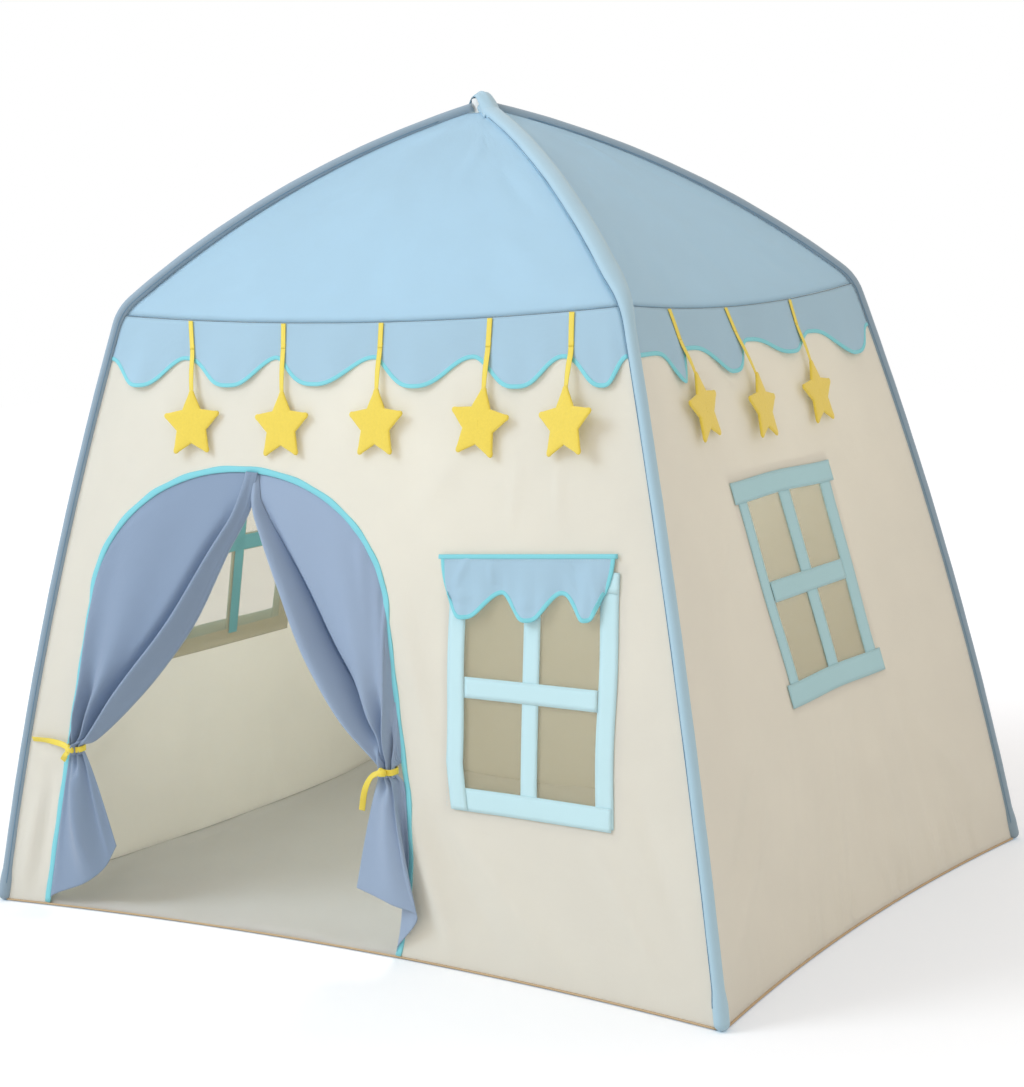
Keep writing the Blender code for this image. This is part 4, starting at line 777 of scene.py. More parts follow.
def ridge(side, height, fold):
    """How far a soft fold stands out at places of a wall."""
    x0, z0, x1, z1, width, depth = fold
    run_x, run_z = x1 - x0, z1 - z0
    length = math.hypot(run_x, run_z)
    along = ((side - x0) * run_x + (height - z0) * run_z) / length ** 2
    off = ((side - x0) * run_z - (height - z0) * run_x) / length
    fade = np.sin(np.pi * clip(along)) ** FOLD_FADE_POWER
    return FOLD_GAIN * depth * bell(off, width) * fade


WAVE_RATES = (12.0, 26.0)
WAVE_RELIEF = 0.0007
FOLD_GAIN = 1.6
FOLD_FADE_POWER = 0.7
STILL_REACH = 0.12
STILL_SIDE_SHARE = 0.06
FOOT_STILL = 0.003
FOOT_FADE = 0.014
NORMAL_STEP = 0.004


class Face:
    """One upright face of the tent: its directions, its bow and the soft folds of its cloth."""

    def __init__(self, outward, sideways, out_share, side_share, bow, folds, seed):
        self.outward = np.array(outward, float)
        self.sideways = np.array(sideways, float)
        self.out_share = out_share
        self.bow = bow
        self.folds = folds
        self.waves = swells(np.random.default_rng(seed), 5, *WAVE_RATES)
        before, after = line_at(LINE_DISTANCE - SLOPE_STEP), line_at(LINE_DISTANCE + SLOPE_STEP)
        slope = np.array(after) - np.array(before)
        along = side_share * slope[0] / np.hypot(slope[0], slope[1])
        reach = sleeve_radius(LINE_DISTANCE) / np.sqrt(1.0 - along ** 2)
        self.limits = LINE[:, 0] * side_share - reach - SEAM_GAP

    def limit(self, distance):
        """How far to the side the cloth reaches before it meets the sleeve."""
        return np.interp(distance, LINE_DISTANCE, self.limits)

    def limit_at_height(self, height):
        """The side limit at a height of the wall."""
        return self.limit(distance_at_height(height))

    def bow_at(self, height):
        """How far the middle of the wall bows in at a height."""
        t = np.minimum(height / SEAM_HEIGHT, 1.0)
        low, middle, high = self.bow
        return low * (1 - t) * (1 - 2 * t) + middle * 4 * t * (1 - t) + high * t * (2 * t - 1)

    def relief(self, side, height, share):
        """Soft folds and slow waves of the hanging cloth, none at its seams."""
        still = clip(1.0 - share ** 2) * clip(height / STILL_REACH)
        still = still * clip((SEAM_HEIGHT - SEAM_DIP - height) / STILL_REACH)
        folds = sum(ridge(side, height, fold) for fold in self.folds)
        edge = clip((1.0 - np.abs(share)) / STILL_SIDE_SHARE)
        foot = clip((height - FOOT_STILL) / FOOT_FADE)
        return WAVE_RELIEF * swell_at(self.waves, side, height) * still + folds * edge * foot

    def wall(self, side, height, offset=0.0):
        """Points of the wall at places to the side and heights, moved outward by the offset."""
        side, height, offset = np.broadcast_arrays(side, height, offset)
        distance = distance_at_height(height)
        out, _ = line_at(distance)
        share = side / self.limit(distance)
        depth = out * self.out_share - self.bow_at(height) * (1.0 - share ** 2) + offset
        depth = depth + self.relief(side, height, share)
        return self.outward * depth[..., None] + self.sideways * side[..., None] + UP * height[..., None]

    def normal(self, side, height):
        """Outward direction of the wall at places."""
        across = self.wall(side + NORMAL_STEP, height) - self.wall(side - NORMAL_STEP, height)
        up = self.wall(side, height + NORMAL_STEP) - self.wall(side, height - NORMAL_STEP)
        normal = unit(np.cross(across, up))
        return normal * np.sign(normal @ self.outward)[..., None]


def seam_height(share):
    """Height of the eave seam, which dips between the corners."""
    return SEAM_HEIGHT - SEAM_DIP * (1.0 - share ** 2)


FRONT = Face((0, -1, 0), (1, 0, 0), DEPTH_SHARE, WIDTH_SHARE, FRONT_BOW, FRONT_FOLDS, 3)
BACK = Face((0, 1, 0), (1, 0, 0), DEPTH_SHARE, WIDTH_SHARE, FRONT_BOW, BACK_FOLDS, 5)
RIGHT = Face((1, 0, 0), (0, 1, 0), WIDTH_SHARE, DEPTH_SHARE, SIDE_BOW, RIGHT_FOLDS, 7)
LEFT = Face((-1, 0, 0), (0, 1, 0), WIDTH_SHARE, DEPTH_SHARE, SIDE_BOW, SIDE_FOLDS, 11)
FACES = {"front": FRONT, "back": BACK, "right": RIGHT, "left": LEFT}


# Windows

class Window:
    """Place and size of one window on its wall."""

    def __init__(self, face, centre, middle, size, lean):
        self.face = face
        self.centre = centre
        self.middle = middle
        self.width, self.height = size
        self.lean = lean

    def side_at(self, side, height):
        """Place to the side with the window's lean added."""
        return self.centre + side - self.lean * (height - self.middle) / self.height

    def outline(self, inset):
        """The four corners, moved in by the inset."""
        half_width = self.width / 2.0 - inset
        half_height = self.height / 2.0 - inset
        corners = ((-1, -1), (1, -1), (1, 1), (-1, 1))
        return [(self.side_at(x * half_width, self.middle + z * half_height), self.middle + z * half_height)
                for x, z in corners]


WINDOWS = {
    "front": Window(FRONT, 0.3325, 0.401, FRONT_WINDOW_SIZE, 0.0),
    "right": Window(RIGHT, 0.004, 0.501, RIGHT_WINDOW_SIZE, 0.055),
    "left": Window(LEFT, -0.015, 0.513, LEFT_WINDOW_SIZE, 0.0),
}


# Door

def door_half_width(height):
    """Half width of the door opening at a height up to where the arch springs."""
    slope = (DOOR_FOOT_HALF_WIDTH - DOOR_SPRING_HALF_WIDTH) / DOOR_SPRING_HEIGHT
    return DOOR_FOOT_HALF_WIDTH - slope * height


def jamb(side, height):
    """Place to the side of the left (-1) or right (1) jamb at heights."""
    place = DOOR_CENTRE + side * door_half_width(height)
    if side < 0:
        return place
    return place - DOOR_TUCK * np.maximum(0.0, 1.0 - height / DOOR_TUCK_HEIGHT) ** DOOR_TUCK_POWER


def door_outline(foot, jamb_steps=40, arch_steps=72):
    """The door opening from its left foot over the arch to its right foot."""
    heights = np.linspace(foot, DOOR_SPRING_HEIGHT, jamb_steps, endpoint=False)
    angles = np.linspace(math.pi, 0.0, arch_steps + 1)
    rise = DOOR_HEIGHT - DOOR_SPRING_HEIGHT
    top = np.stack([DOOR_CENTRE + DOOR_SPRING_HALF_WIDTH * np.cos(angles),
                    DOOR_SPRING_HEIGHT + rise * np.sin(angles)], axis=1)
    left = np.stack([jamb(-1, heights), heights], axis=1)
    right = np.stack([jamb(1, heights), heights], axis=1)[::-1]
    return np.vstack([left, top, right])


def inset_outline(points, inset):
    """An open outline moved towards its inside, or out by a negative inset."""
    run = unit(np.gradient(points, axis=0))
    return points + np.stack([run[:, 1], -run[:, 0]], axis=1) * np.reshape(inset, (-1, 1))


# Walls, roof and floor

def cut(piece, face, outline):
    """Cuts an opening through a wall; its outline is in places to the side and heights."""
    bm = bmesh.new()
    near = [bm.verts.new(face.sideways * x + UP * z) for x, z in outline]
    bm.faces.new(near)
    made = bmesh.ops.extrude_face_region(bm, geom=bm.faces[:])
    moved = [item for item in made["geom"] if isinstance(item, bmesh.types.BMVert)]
    bmesh.ops.translate(bm, vec=Vector(face.outward), verts=moved)
    bmesh.ops.recalc_face_normals(bm, faces=bm.faces)
    cutter = placed("cutter", finished(bm, "cutter"))
    step = piece.modifiers.new("opening", 'BOOLEAN')
    step.object = cutter
    step.operation = 'DIFFERENCE'
    step.solver = 'EXACT'
    settle(piece)
    bpy.data.objects.remove(cutter)


WALL_COLUMNS = {"front": 160, "back": 90, "right": 190, "left": 110}
WALL_ROWS = 120
ROOF_COLUMNS = 72
ROOF_ROWS = 60
DOOR_CUT_BELOW = -0.05
HOLE_EDGE_ANGLE = math.radians(50.0)


def wall_piece(side_name):
    """One wall of canvas, from the floor to the eave seam, with its openings."""
    face = FACES[side_name]

    def place(a, b):
        share = 2.0 * a - 1.0
        height = WALL_FOOT + (seam_height(share) - SEAM_GAP - WALL_FOOT) * b
        return face.wall(share * face.limit_at_height(height), height)

    width = 2.0 * float(face.limit_at_height(0.0))
    name = f"{side_name}_wall_cloth"
    mesh = grid_mesh(name, WALL_COLUMNS[side_name], WALL_ROWS, place, (width, SEAM_HEIGHT))
    wall = cloth_piece(name, mesh, "canvas", CLOTH, [f"{side_name}_wall"])
    if side_name == "front":
        door = door_outline(0.0)
        cut(wall, face, [(door[0][0], DOOR_CUT_BELOW), *door, (door[-1][0], DOOR_CUT_BELOW)])
    if side_name in WINDOWS:
        cut(wall, face, WINDOWS[side_name].outline(WINDOW_HOLE_INSET))
    wall.data.shade_smooth()
    wall.data.set_sharp_from_angle(angle=HOLE_EDGE_ANGLE)
    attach(wall, ROOT)
    area = one_side_area(wall.data) / 2.0


ROOF_FOLD_GAIN = 1.3
# Stretch marks of the roof: the two ends in shares across and up, width and depth
ROOF_FOLDS = (
    (-0.80, 0.03, -0.58, 0.16, 0.05, -0.0030), (-0.66, 0.02, -0.50, 0.12, 0.04, 0.0022),
    (0.82, 0.05, 0.60, 0.30, 0.06, 0.0030), (-0.30, 0.60, 0.10, 0.30, 0.08, 0.0020),
    (-0.70, 0.42, -0.45, 0.55, 0.05, -0.0018), (0.30, 0.55, 0.62, 0.80, 0.06, 0.0020),
    (0.05, 0.04, -0.05, 0.30, 0.06, -0.0016), (0.50, 0.02, 0.44, 0.20, 0.05, 0.0016),
    (-0.92, 0.10, -0.74, 0.30, 0.04, -0.0024), (0.66, 0.02, 0.50, 0.14, 0.035, -0.0022),
    (-0.20, 0.02, -0.10, 0.16, 0.04, 0.0016), (0.86, 0.30, 0.70, 0.62, 0.05, -0.0022),
)


def roof_piece(side_name):
    """One roof panel, from the eave seam up between two sleeves to the crown."""
    face = FACES[side_name]
    seam_distance = float(distance_at_height(SEAM_HEIGHT))
    crown_distance = distance_from_crown(ROOF_CROWN_REACH)

    def place(a, b):
        share = 2.0 * a - 1.0
        distance = seam_distance + (crown_distance - seam_distance) * b
        out, height = line_at(distance)
        side = share * face.limit(distance)
        edge = clip(1.0 - share ** 2) * 4.0 * b * (1.0 - b)
        folds = sum(ridge(share, b, fold) for fold in ROOF_FOLDS)
        slack = ROOF_SLACK * edge - ROOF_FOLD_GAIN * folds * np.sqrt(edge)
        point = (face.outward * (out * face.out_share)[:, None] + face.sideways * side[:, None]
                 + UP * (height - slack)[:, None])
        seam = seam_height(share) + SEAM_GAP + CLOTH / 2.0
        seam_out, seam_line = line_at(seam_distance)
        start = face.outward * (seam_out * face.out_share) + UP * seam_line
        drop = face.wall(share * face.limit_at_height(seam), seam) - start
        drop = drop - face.sideways * (drop @ face.sideways)[:, None]
        return point + drop * ((1.0 - b) ** 2)[:, None]

    width = 2.0 * float(face.limit_at_height(SEAM_HEIGHT))
    length = crown_distance - seam_distance
    mesh = grid_mesh(f"{side_name}_roof_cloth", ROOF_COLUMNS, ROOF_ROWS, place, (width, length))
    area = one_side_area(mesh)
    roof = cloth_piece(mesh.name, mesh, "roof", CLOTH, [f"{side_name}_roof_panel"])
    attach(roof, ROOT)


FLOOR_WAVES = 7
FLOOR_WAVE_RATES = (18.0, 60.0)
FLOOR_EDGE_SHARES = (0.025, 0.03)
FLOOR_TURN_SHARES = (0.035, 0.045)
FLOOR_TURN_INWARD = (0.50, 0.45)
FLOOR_TURN_FRONT_SHARE = 0.10
FLOOR_NEAR_SHARE = 0.22
FLOOR_LIFT = 0.0020
FLOOR_EDGE_LIFT = 0.008
FLOOR_SEED = 17
FLOOR_SWELL_SHARES = (0.55, 0.9)
FLOOR_COLUMNS = 120
FLOOR_ROWS = 100
PIPING_POINTS = 190
PIPING_RISE = 0.0004
PIPING_LAYER = 0.0016


def floor_piece():
    """The floor sheet, with soft gathers along the walls, and the piping round its edge."""
    waves = swells(np.random.default_rng(FLOOR_SEED), FLOOR_WAVES, *FLOOR_WAVE_RATES)
    half_width, half_depth = BASE_HALF_WIDTH + FLOOR_MARGIN, BASE_HALF_DEPTH + FLOOR_MARGIN

    def place(a, b):
        across, along = 2.0 * a - 1.0, 2.0 * b - 1.0
        side_off, end_off = 1.0 - np.abs(across), 1.0 - np.abs(along)
        turn = np.maximum(bell(side_off, FLOOR_TURN_SHARES[0]), bell(1.0 - along, FLOOR_TURN_SHARES[1]))
        turn_up = FLOOR_TURN * turn * clip((1.0 + along) / FLOOR_TURN_FRONT_SHARE)
        x = across * (half_width - SIDE_BOW[0] * (1.0 - along ** 2) - FLOOR_TURN_INWARD[0] * turn_up)
        y = along * (half_depth - FRONT_BOW[0] * (1.0 - across ** 2) - FLOOR_TURN_INWARD[1] * turn_up)
        swell = swell_at(waves, x, y) / len(waves)
        edge = clip(side_off / FLOOR_EDGE_SHARES[0]) * clip(end_off / FLOOR_EDGE_SHARES[1])
        near_wall = bell(side_off, FLOOR_NEAR_SHARE) + bell(end_off, FLOOR_NEAR_SHARE)
        least, more = FLOOR_SWELL_SHARES
        lift = (FLOOR_LIFT + FLOOR_EDGE_LIFT * near_wall) * (least + more * swell) * edge
        return np.stack([x, y, FLOOR_CLOTH / 2.0 + lift + turn_up], axis=1)

    width, depth = 2.0 * half_width, 2.0 * half_depth
    mesh = grid_mesh("floor_cloth", FLOOR_COLUMNS, FLOOR_ROWS, place, (width, depth))
    area = one_side_area(mesh)
    floor = cloth_piece("floor_cloth", mesh, "floor", FLOOR_CLOTH, ["floor_sheet"])
    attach(floor, ROOT)
    runs = []
    for face in FACES.values():
        share = np.linspace(-1.0, 1.0, PIPING_POINTS)
        side = share * face.limit_at_height(PIPING_RADIUS)
        line = face.wall(side, PIPING_RADIUS + PIPING_RISE, PIPING_LAYER)
        runs.append(round_mesh("piping_run", line, PIPING_RADIUS))
    piping = joined("bottom_piping", runs, "piping")
    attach(piping, ROOT)


# Sleeves and crown

FOOT_DISTANCE = float(distance_at_height(LEG_SLEEVE_RADIUS))
ROOF_SLEEVE_HALF_WIDTH = 0.0135
ROOF_SLEEVE_HALF_DEPTH = 0.0092
LEG_SLEEVE_HALF_WIDTH = 0.0079
LEG_SLEEVE_HALF_DEPTH = 0.0081
FOOT_HALF_WIDTH = 0.0101
FOOT_REACH = 0.024
SLEEVE_SIDES = 28
SLEEVE_ROWS = 260
SLEEVE_CROWN_REACH = 0.015
# Where the sleeve's half width and half depth change along the pole line
SLEEVE_PLACES = (FOOT_DISTANCE + FOOT_REACH, FOOT_DISTANCE + 1.8 * FOOT_REACH, EAVE_DISTANCE - 0.03,
                 EAVE_DISTANCE + 0.05)
SLEEVE_WIDTHS = (FOOT_HALF_WIDTH, LEG_SLEEVE_HALF_WIDTH, LEG_SLEEVE_HALF_WIDTH, ROOF_SLEEVE_HALF_WIDTH)
SLEEVE_DEPTHS = (FOOT_HALF_WIDTH, LEG_SLEEVE_HALF_DEPTH, LEG_SLEEVE_HALF_DEPTH, ROOF_SLEEVE_HALF_DEPTH)
SLEEVE_BEND_REACH = 0.05
SLEEVE_WAVE_RATES = (41.0, 97.0)
SLEEVE_WAVE_SHARE = 0.014
SLEEVE_PUCKER_RATE = 520.0
SLEEVE_PUCKER_SHARE = 0.016
SLEEVE_BEND_PUCKER = 0.7
SLEEVE_LEAST_PUCKER = 0.12
SLEEVE_CAP_START = 0.05
SLEEVE_CAP_RINGS = 8
SLEEVE_ROUND_POWER = 0.9
SLEEVE_LOWEST = 0.0003
SEAM_RADIUS = 0.0007
SEAM_SIDES = 6
SEAM_FOOT = 0.03
SEAM_CROWN_REACH = 0.07
SEAM_STAND = 0.0004
SEAM_BACK = 0.0012
SEAM_POINTS = 220


def sleeve_frame(corner, distance):
    """Points of a corner's line with the directions to the side and outward there."""
    side_x, side_y = CORNERS[corner]
    plane = np.array([side_x * WIDTH_SHARE, side_y * DEPTH_SHARE, 0.0])
    out, height = line_at(distance)
    before, after = line_at(distance - SLOPE_STEP), line_at(distance + SLOPE_STEP)
    run = unit(np.stack([after[0] - before[0], after[1] - before[1]], axis=1))
    tangents = plane * run[:, :1] + UP * run[:, 1:]
    across = np.cross(plane, UP)
    outward = np.cross(tangents, across)
    outward *= np.sign(outward @ (plane + UP))[:, None]
    return plane * out[:, None] + UP * height[:, None], across, outward


def sleeve_piece(corner):
    """The fabric tunnel of one corner, from its rounded foot over the eave to the crown."""
    cap = np.linspace(SLEEVE_CAP_START, 1.0, SLEEVE_CAP_RINGS) * math.pi / 2.0
    run = np.linspace(FOOT_DISTANCE, distance_from_crown(SLEEVE_CROWN_REACH), SLEEVE_ROWS)
    tip = FOOT_DISTANCE - LEG_SLEEVE_RADIUS * np.cos(cap)
    distance = np.concatenate([tip[:-1], run])
    grow = np.concatenate([np.sin(cap)[:-1], np.ones(len(run))])
    half_width = np.interp(distance, SLEEVE_PLACES, SLEEVE_WIDTHS) * grow
    half_depth = np.interp(distance, SLEEVE_PLACES, SLEEVE_DEPTHS) * grow
    centre, across, outward = sleeve_frame(corner, distance)
    seed = list(CORNERS).index(corner)
    puckered = bell(distance - EAVE_DISTANCE, SLEEVE_BEND_REACH) * SLEEVE_BEND_PUCKER + SLEEVE_LEAST_PUCKER
    rings = []
    for angle in circle(SLEEVE_SIDES):
        c, s = math.cos(angle), math.sin(angle)
        wave = (np.sin(distance * SLEEVE_WAVE_RATES[0] + 2.0 * c + seed)
                + 0.6 * np.sin(distance * SLEEVE_WAVE_RATES[1] + 3.0 * s + 2.0 * seed))
        pucker = np.sin(distance * SLEEVE_PUCKER_RATE + 2.5 * c) * puckered
        swell = 1.0 + SLEEVE_WAVE_SHARE * (wave + 1.0) + SLEEVE_PUCKER_SHARE * (pucker + 0.6)
        wide = math.copysign(abs(c) ** SLEEVE_ROUND_POWER, c) * half_width * swell
        deep = math.copysign(abs(s) ** SLEEVE_ROUND_POWER, s) * half_depth * swell
        rings.append(centre + across * wide[:, None] + outward * deep[:, None])
    rings = np.stack(rings, axis=1)
    rings[:, :, 2] = np.maximum(rings[:, :, 2], SLEEVE_LOWEST)
    name = f"sleeve_cloth_{corner}"
    # The front right sleeve gets the plain cloth; the other three get it painted darker, as painted shade
    finish = "sleeve" if corner == "front_right" else "sleeve_painted_shade"
    sleeve = add_piece(name, sweep_mesh(name, rings), finish, [f"corner_sleeve_{corner}"])
    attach(sleeve, ROOT)
    seams = []
    for side in (-1.0, 1.0):
        line = np.linspace(distance_at_height(SEAM_FOOT), distance_from_crown(SEAM_CROWN_REACH),
                           SEAM_POINTS)
        wide = np.interp(line, SLEEVE_PLACES, SLEEVE_WIDTHS) + SEAM_STAND
        centre, across, outward = sleeve_frame(corner, line)
        path = centre + across * side * wide[:, None] - outward * SEAM_BACK
        seams.append(round_mesh("seam_run", path, SEAM_RADIUS, SEAM_SIDES))
    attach(joined(f"sleeve_seam_{corner}", seams, "seam"), ROOT)


CROWN_COVER_REACH = 0.056
CROWN_COVER_HALF_WIDTH = 0.0135
CROWN_COVER_TOP = 0.0236
CROWN_COVER_DROP = 0.0075
CROWN_COVER_END_DROP = 0.006
CROWN_COVER_FLARE = 0.22
CROWN_COVER_PLEAT = 0.0008
CROWN_COVER_GAP = 0.0008
CROWN_COVER_FLAT = (0.03, 0.13)
CROWN_COVER_COLUMNS = 18
CROWN_COVER_ROWS = 48


def crown_cover_piece():
    """The strap of sleeve cloth that arches over the crown."""
    direction = np.array([WIDTH_SHARE, -DEPTH_SHARE, 0.0])
    across = np.cross(direction, UP)

    def place(a, b):
        along = (2.0 * b - 1.0) * CROWN_COVER_REACH
        out = np.abs(along)
        pole_height = np.interp(out, LINE[::-1, 0], LINE[::-1, 1])
        rest = pole_height + ROOF_SLEEVE_HALF_DEPTH + CROWN_COVER_GAP
        arch = CROWN_HEIGHT + CROWN_COVER_TOP - CLOTH
        lift = 0.5 + 0.5 * np.cos(np.pi * clip(out / CROWN_COVER_REACH))
        side = 2.0 * a - 1.0
        wide = CROWN_COVER_HALF_WIDTH * (1.0 + CROWN_COVER_FLARE * (out / CROWN_COVER_REACH) ** 2)
        pleat = CROWN_COVER_PLEAT * np.sin(side * 9.0 + 4.0 * along / CROWN_COVER_REACH) * lift
        drop = (CROWN_COVER_DROP + CROWN_COVER_END_DROP * (1.0 - lift)) * side ** 2
        height = rest + (arch - rest) * lift - drop - CROWN_COVER_GAP + pleat
        return direction * along[:, None] + across * (side * wide)[:, None] + UP * height[:, None]

    mesh = grid_mesh("crown_strap", CROWN_COVER_COLUMNS, CROWN_COVER_ROWS, place, CROWN_COVER_FLAT)
    area = one_side_area(mesh)
    strap = cloth_piece("crown_strap", mesh, "sleeve", CLOTH, ["crown_cover"])
    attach(strap, ROOT)


# Valances

def lobe_shape(share, cusp_shares, low_shares):
    """0 at a cusp or an end and 1 at the lowest point of a lobe, for places along a scalloped edge."""
    edges = np.array([-1.0, *cusp_shares, 1.0])
    index = np.clip(np.searchsorted(edges, share, side="right") - 1, 0, len(edges) - 2)
    lows = np.array(low_shares)
    place = clip((share - edges[index]) / (edges[index + 1] - edges[index]))
    place = place ** (math.log(0.5) / np.log(lows[index, 0]))
    return (1.0 - np.abs(np.cos(np.pi * place)) ** LOBE_POWER) * lows[index, 1], place


def valance_meshes(name, place, columns, flat):
    """The cloth of a scalloped strip and the bound edge along its foot, from the strip's place."""
    cloth = grid_mesh(f"{name}_cloth", columns, VALANCE_ROWS, place, flat)
    a = even(columns * 2 + 1)
    foot = place(a, np.ones_like(a))
    above = place(a, np.full_like(a, ABOVE_EDGE_SHARE))
    run = unit(np.gradient(foot, axis=0))
    down = foot - above
    normal = unit(np.cross(run, down))
    inward = np.cross(normal, run)
    inward *= -np.sign((inward * down).sum(axis=1, keepdims=True))
    outer = foot - inward * BINDING_OVERLAP
    inner = foot + inward * VALANCE_BINDING
    return cloth, binding_mesh(f"{name}_binding", inner, outer, normal)


def binding_mesh(name, inner, outer, normals, half_thickness=BINDING_HALF_THICKNESS):
    """A bound edge: a folded tape that closes over the cloth."""
    return tape_mesh(name, inner, outer, normals, half_thickness, BINDING_SECTION_SHARES)


def valance_place(face, cusp_shares, low_shares):
    """Place function of one eave valance."""
    def place(a, b):
        share = 2.0 * a - 1.0
        lobe, within = lobe_shape(share, cusp_shares, low_shares)
        top = seam_height(share) - SEAM_GAP - CLOTH / 2.0
        bottom = SEAM_HEIGHT - VALANCE_CUSP_DROP - (VALANCE_LOBE_DROP - VALANCE_CUSP_DROP) * lobe
        height = top + (bottom - top) * b
        side = share * (face.limit_at_height(height) - VALANCE_END_GAP)
        swing = np.sin(4.0 * math.pi * within + VALANCE_FLUTE_SHIFT * share)
        flute = VALANCE_FLUTE * swing * np.sin(np.pi * within) * b
        curl = VALANCE_BULGE * np.sin(np.pi * within) ** 2 * b ** VALANCE_CURL_POWER
        return face.wall(side, height, VALANCE_LAYER + curl + flute)

    return place


def eave_valance(side_name):
    """A scalloped strip under one eave seam, its bound edge and the dark line of the seam."""
    face = FACES[side_name]
    body = f"{side_name}_valance"
    cusp_shares, low_shares = SCALLOPS[side_name]
    columns = LOBE_COLUMNS * (len(cusp_shares) + 1)
    width = 2.0 * float(face.limit_at_height(SEAM_HEIGHT))
    place = valance_place(face, cusp_shares, low_shares)
    cloth, binding = valance_meshes(body, place, columns, (width, VALANCE_LOBE_DROP))
    area = one_side_area(cloth)
    valance = cloth_piece(f"{body}_cloth", cloth, "roof", CLOTH, [body])
    bound = add_piece(f"{body}_binding", binding, "binding")
    for piece in (valance, bound):
        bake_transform(piece)
    share = np.linspace(-1.0, 1.0, EAVE_SEAM_POINTS)
    height = seam_height(share) + EAVE_SEAM_RISE
    line = face.wall(share * (face.limit_at_height(height) - EAVE_SEAM_INSET), height, EAVE_SEAM_LAYER)
    seam = round_mesh("eave_seam", line, EAVE_SEAM_RADIUS, SEAM_SIDES)
    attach(add_piece(f"{side_name}_eave_seam", seam, "seam"), ROOT)


SCALLOPS = {"front": (FRONT_CUSP_SHARES, FRONT_LOW_SHARES), "back": (FRONT_CUSP_SHARES, FRONT_LOW_SHARES),
            "right": (SIDE_CUSP_SHARES, RIGHT_LOW_SHARES), "left": (SIDE_CUSP_SHARES, LEFT_LOW_SHARES)}


# Hanging stars

def star_mesh(name):
    """A felt star with blunt round tips, a soft rim and a little pillow."""
    outline = []
    for tip in range(STAR_TIPS):
        base = math.pi / 2.0 + math.tau * tip / STAR_TIPS
        points = [(base + turn, share) for turn, share in STAR_TIP]
        points += [(base + math.pi / STAR_TIPS + turn, share) for turn, share in STAR_NOTCH]
        outline += [Vector((math.cos(t), math.sin(t), 0.0)) * share * STAR_RADIUS for t, share in points]
    bm = bmesh.new()
    half = FELT_THICKNESS / 2.0
    rings = [[bm.verts.new((p.x * inset, p.y * inset, half * height)) for p in outline]
             for inset, height in mirrored(STAR_PROFILE)]
    for low, high in zip(rings, rings[1:]):
        for index in range(len(outline)):
            after = (index + 1) % len(outline)
            bm.faces.new((low[index], low[after], high[after], high[index]))
    for ring, height in ((rings[0], half), (rings[-1], -half)):
        middle = bm.verts.new((0.0, 0.0, height * STAR_PROFILE[0][1]))
        for index in range(len(outline)):
            bm.faces.new((middle, ring[index], ring[(index + 1) % len(outline)]))
    bmesh.ops.recalc_face_normals(bm, faces=bm.faces)
    mesh = finished(bm, name)
    mesh.shade_smooth()
    return mesh


def star_piece(name, side_name, share, side, star_height, twist, roll):
    """A felt star, its stitch, its ribbon and the ribbon's end that is sewn into the eave seam."""
    face = FACES[side_name]
    layer = STAR_STANDOFF + STAR_RADIUS * abs(math.sin(twist)) * STAR_TWIST_ROOM
    centre = face.wall(side, star_height, layer)
    up = unit(face.wall(side, star_height + STAR_SLOPE_STEP)
              - face.wall(side, star_height - STAR_SLOPE_STEP))
    normal = face.normal(np.array([side]), np.array([star_height]))[0]
    across = np.cross(up, normal)
    turn = Matrix.Rotation(twist, 3, Vector(up)) @ Matrix.Rotation(roll, 3, Vector(normal))
    turn = turn @ Matrix((across, up, normal)).transposed()
    star = add_piece(f"{name}_felt", star_mesh(f"{name}_felt"), "felt", [name])
    star.data.transform(Matrix.Translation(Vector(centre)) @ turn.to_4x4())
    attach(star, name)
    places = np.linspace(-STAR_STITCH_REACH, STAR_STITCH_REACH, STAR_STITCH_POINTS)
    path = np.array([centre + up * t for t in places])
    normals = np.tile(np.array(turn @ Vector((0.0, 0.0, 1.0))), (len(path), 1))
    mesh = stitch_mesh(f"{name}_stitch", path, normals, FELT_THICKNESS * STAR_STITCH_LIFT)
    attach(add_piece(mesh.name, mesh, "ribbon"), name)
    hook = centre + np.array(turn @ Vector((0.0, STAR_RADIUS * HOOK_SHARE, HOOK_LAYER)))
    ribbon(name, side_name, share, hook, np.array(turn @ Vector((1.0, 0.0, 0.0))))


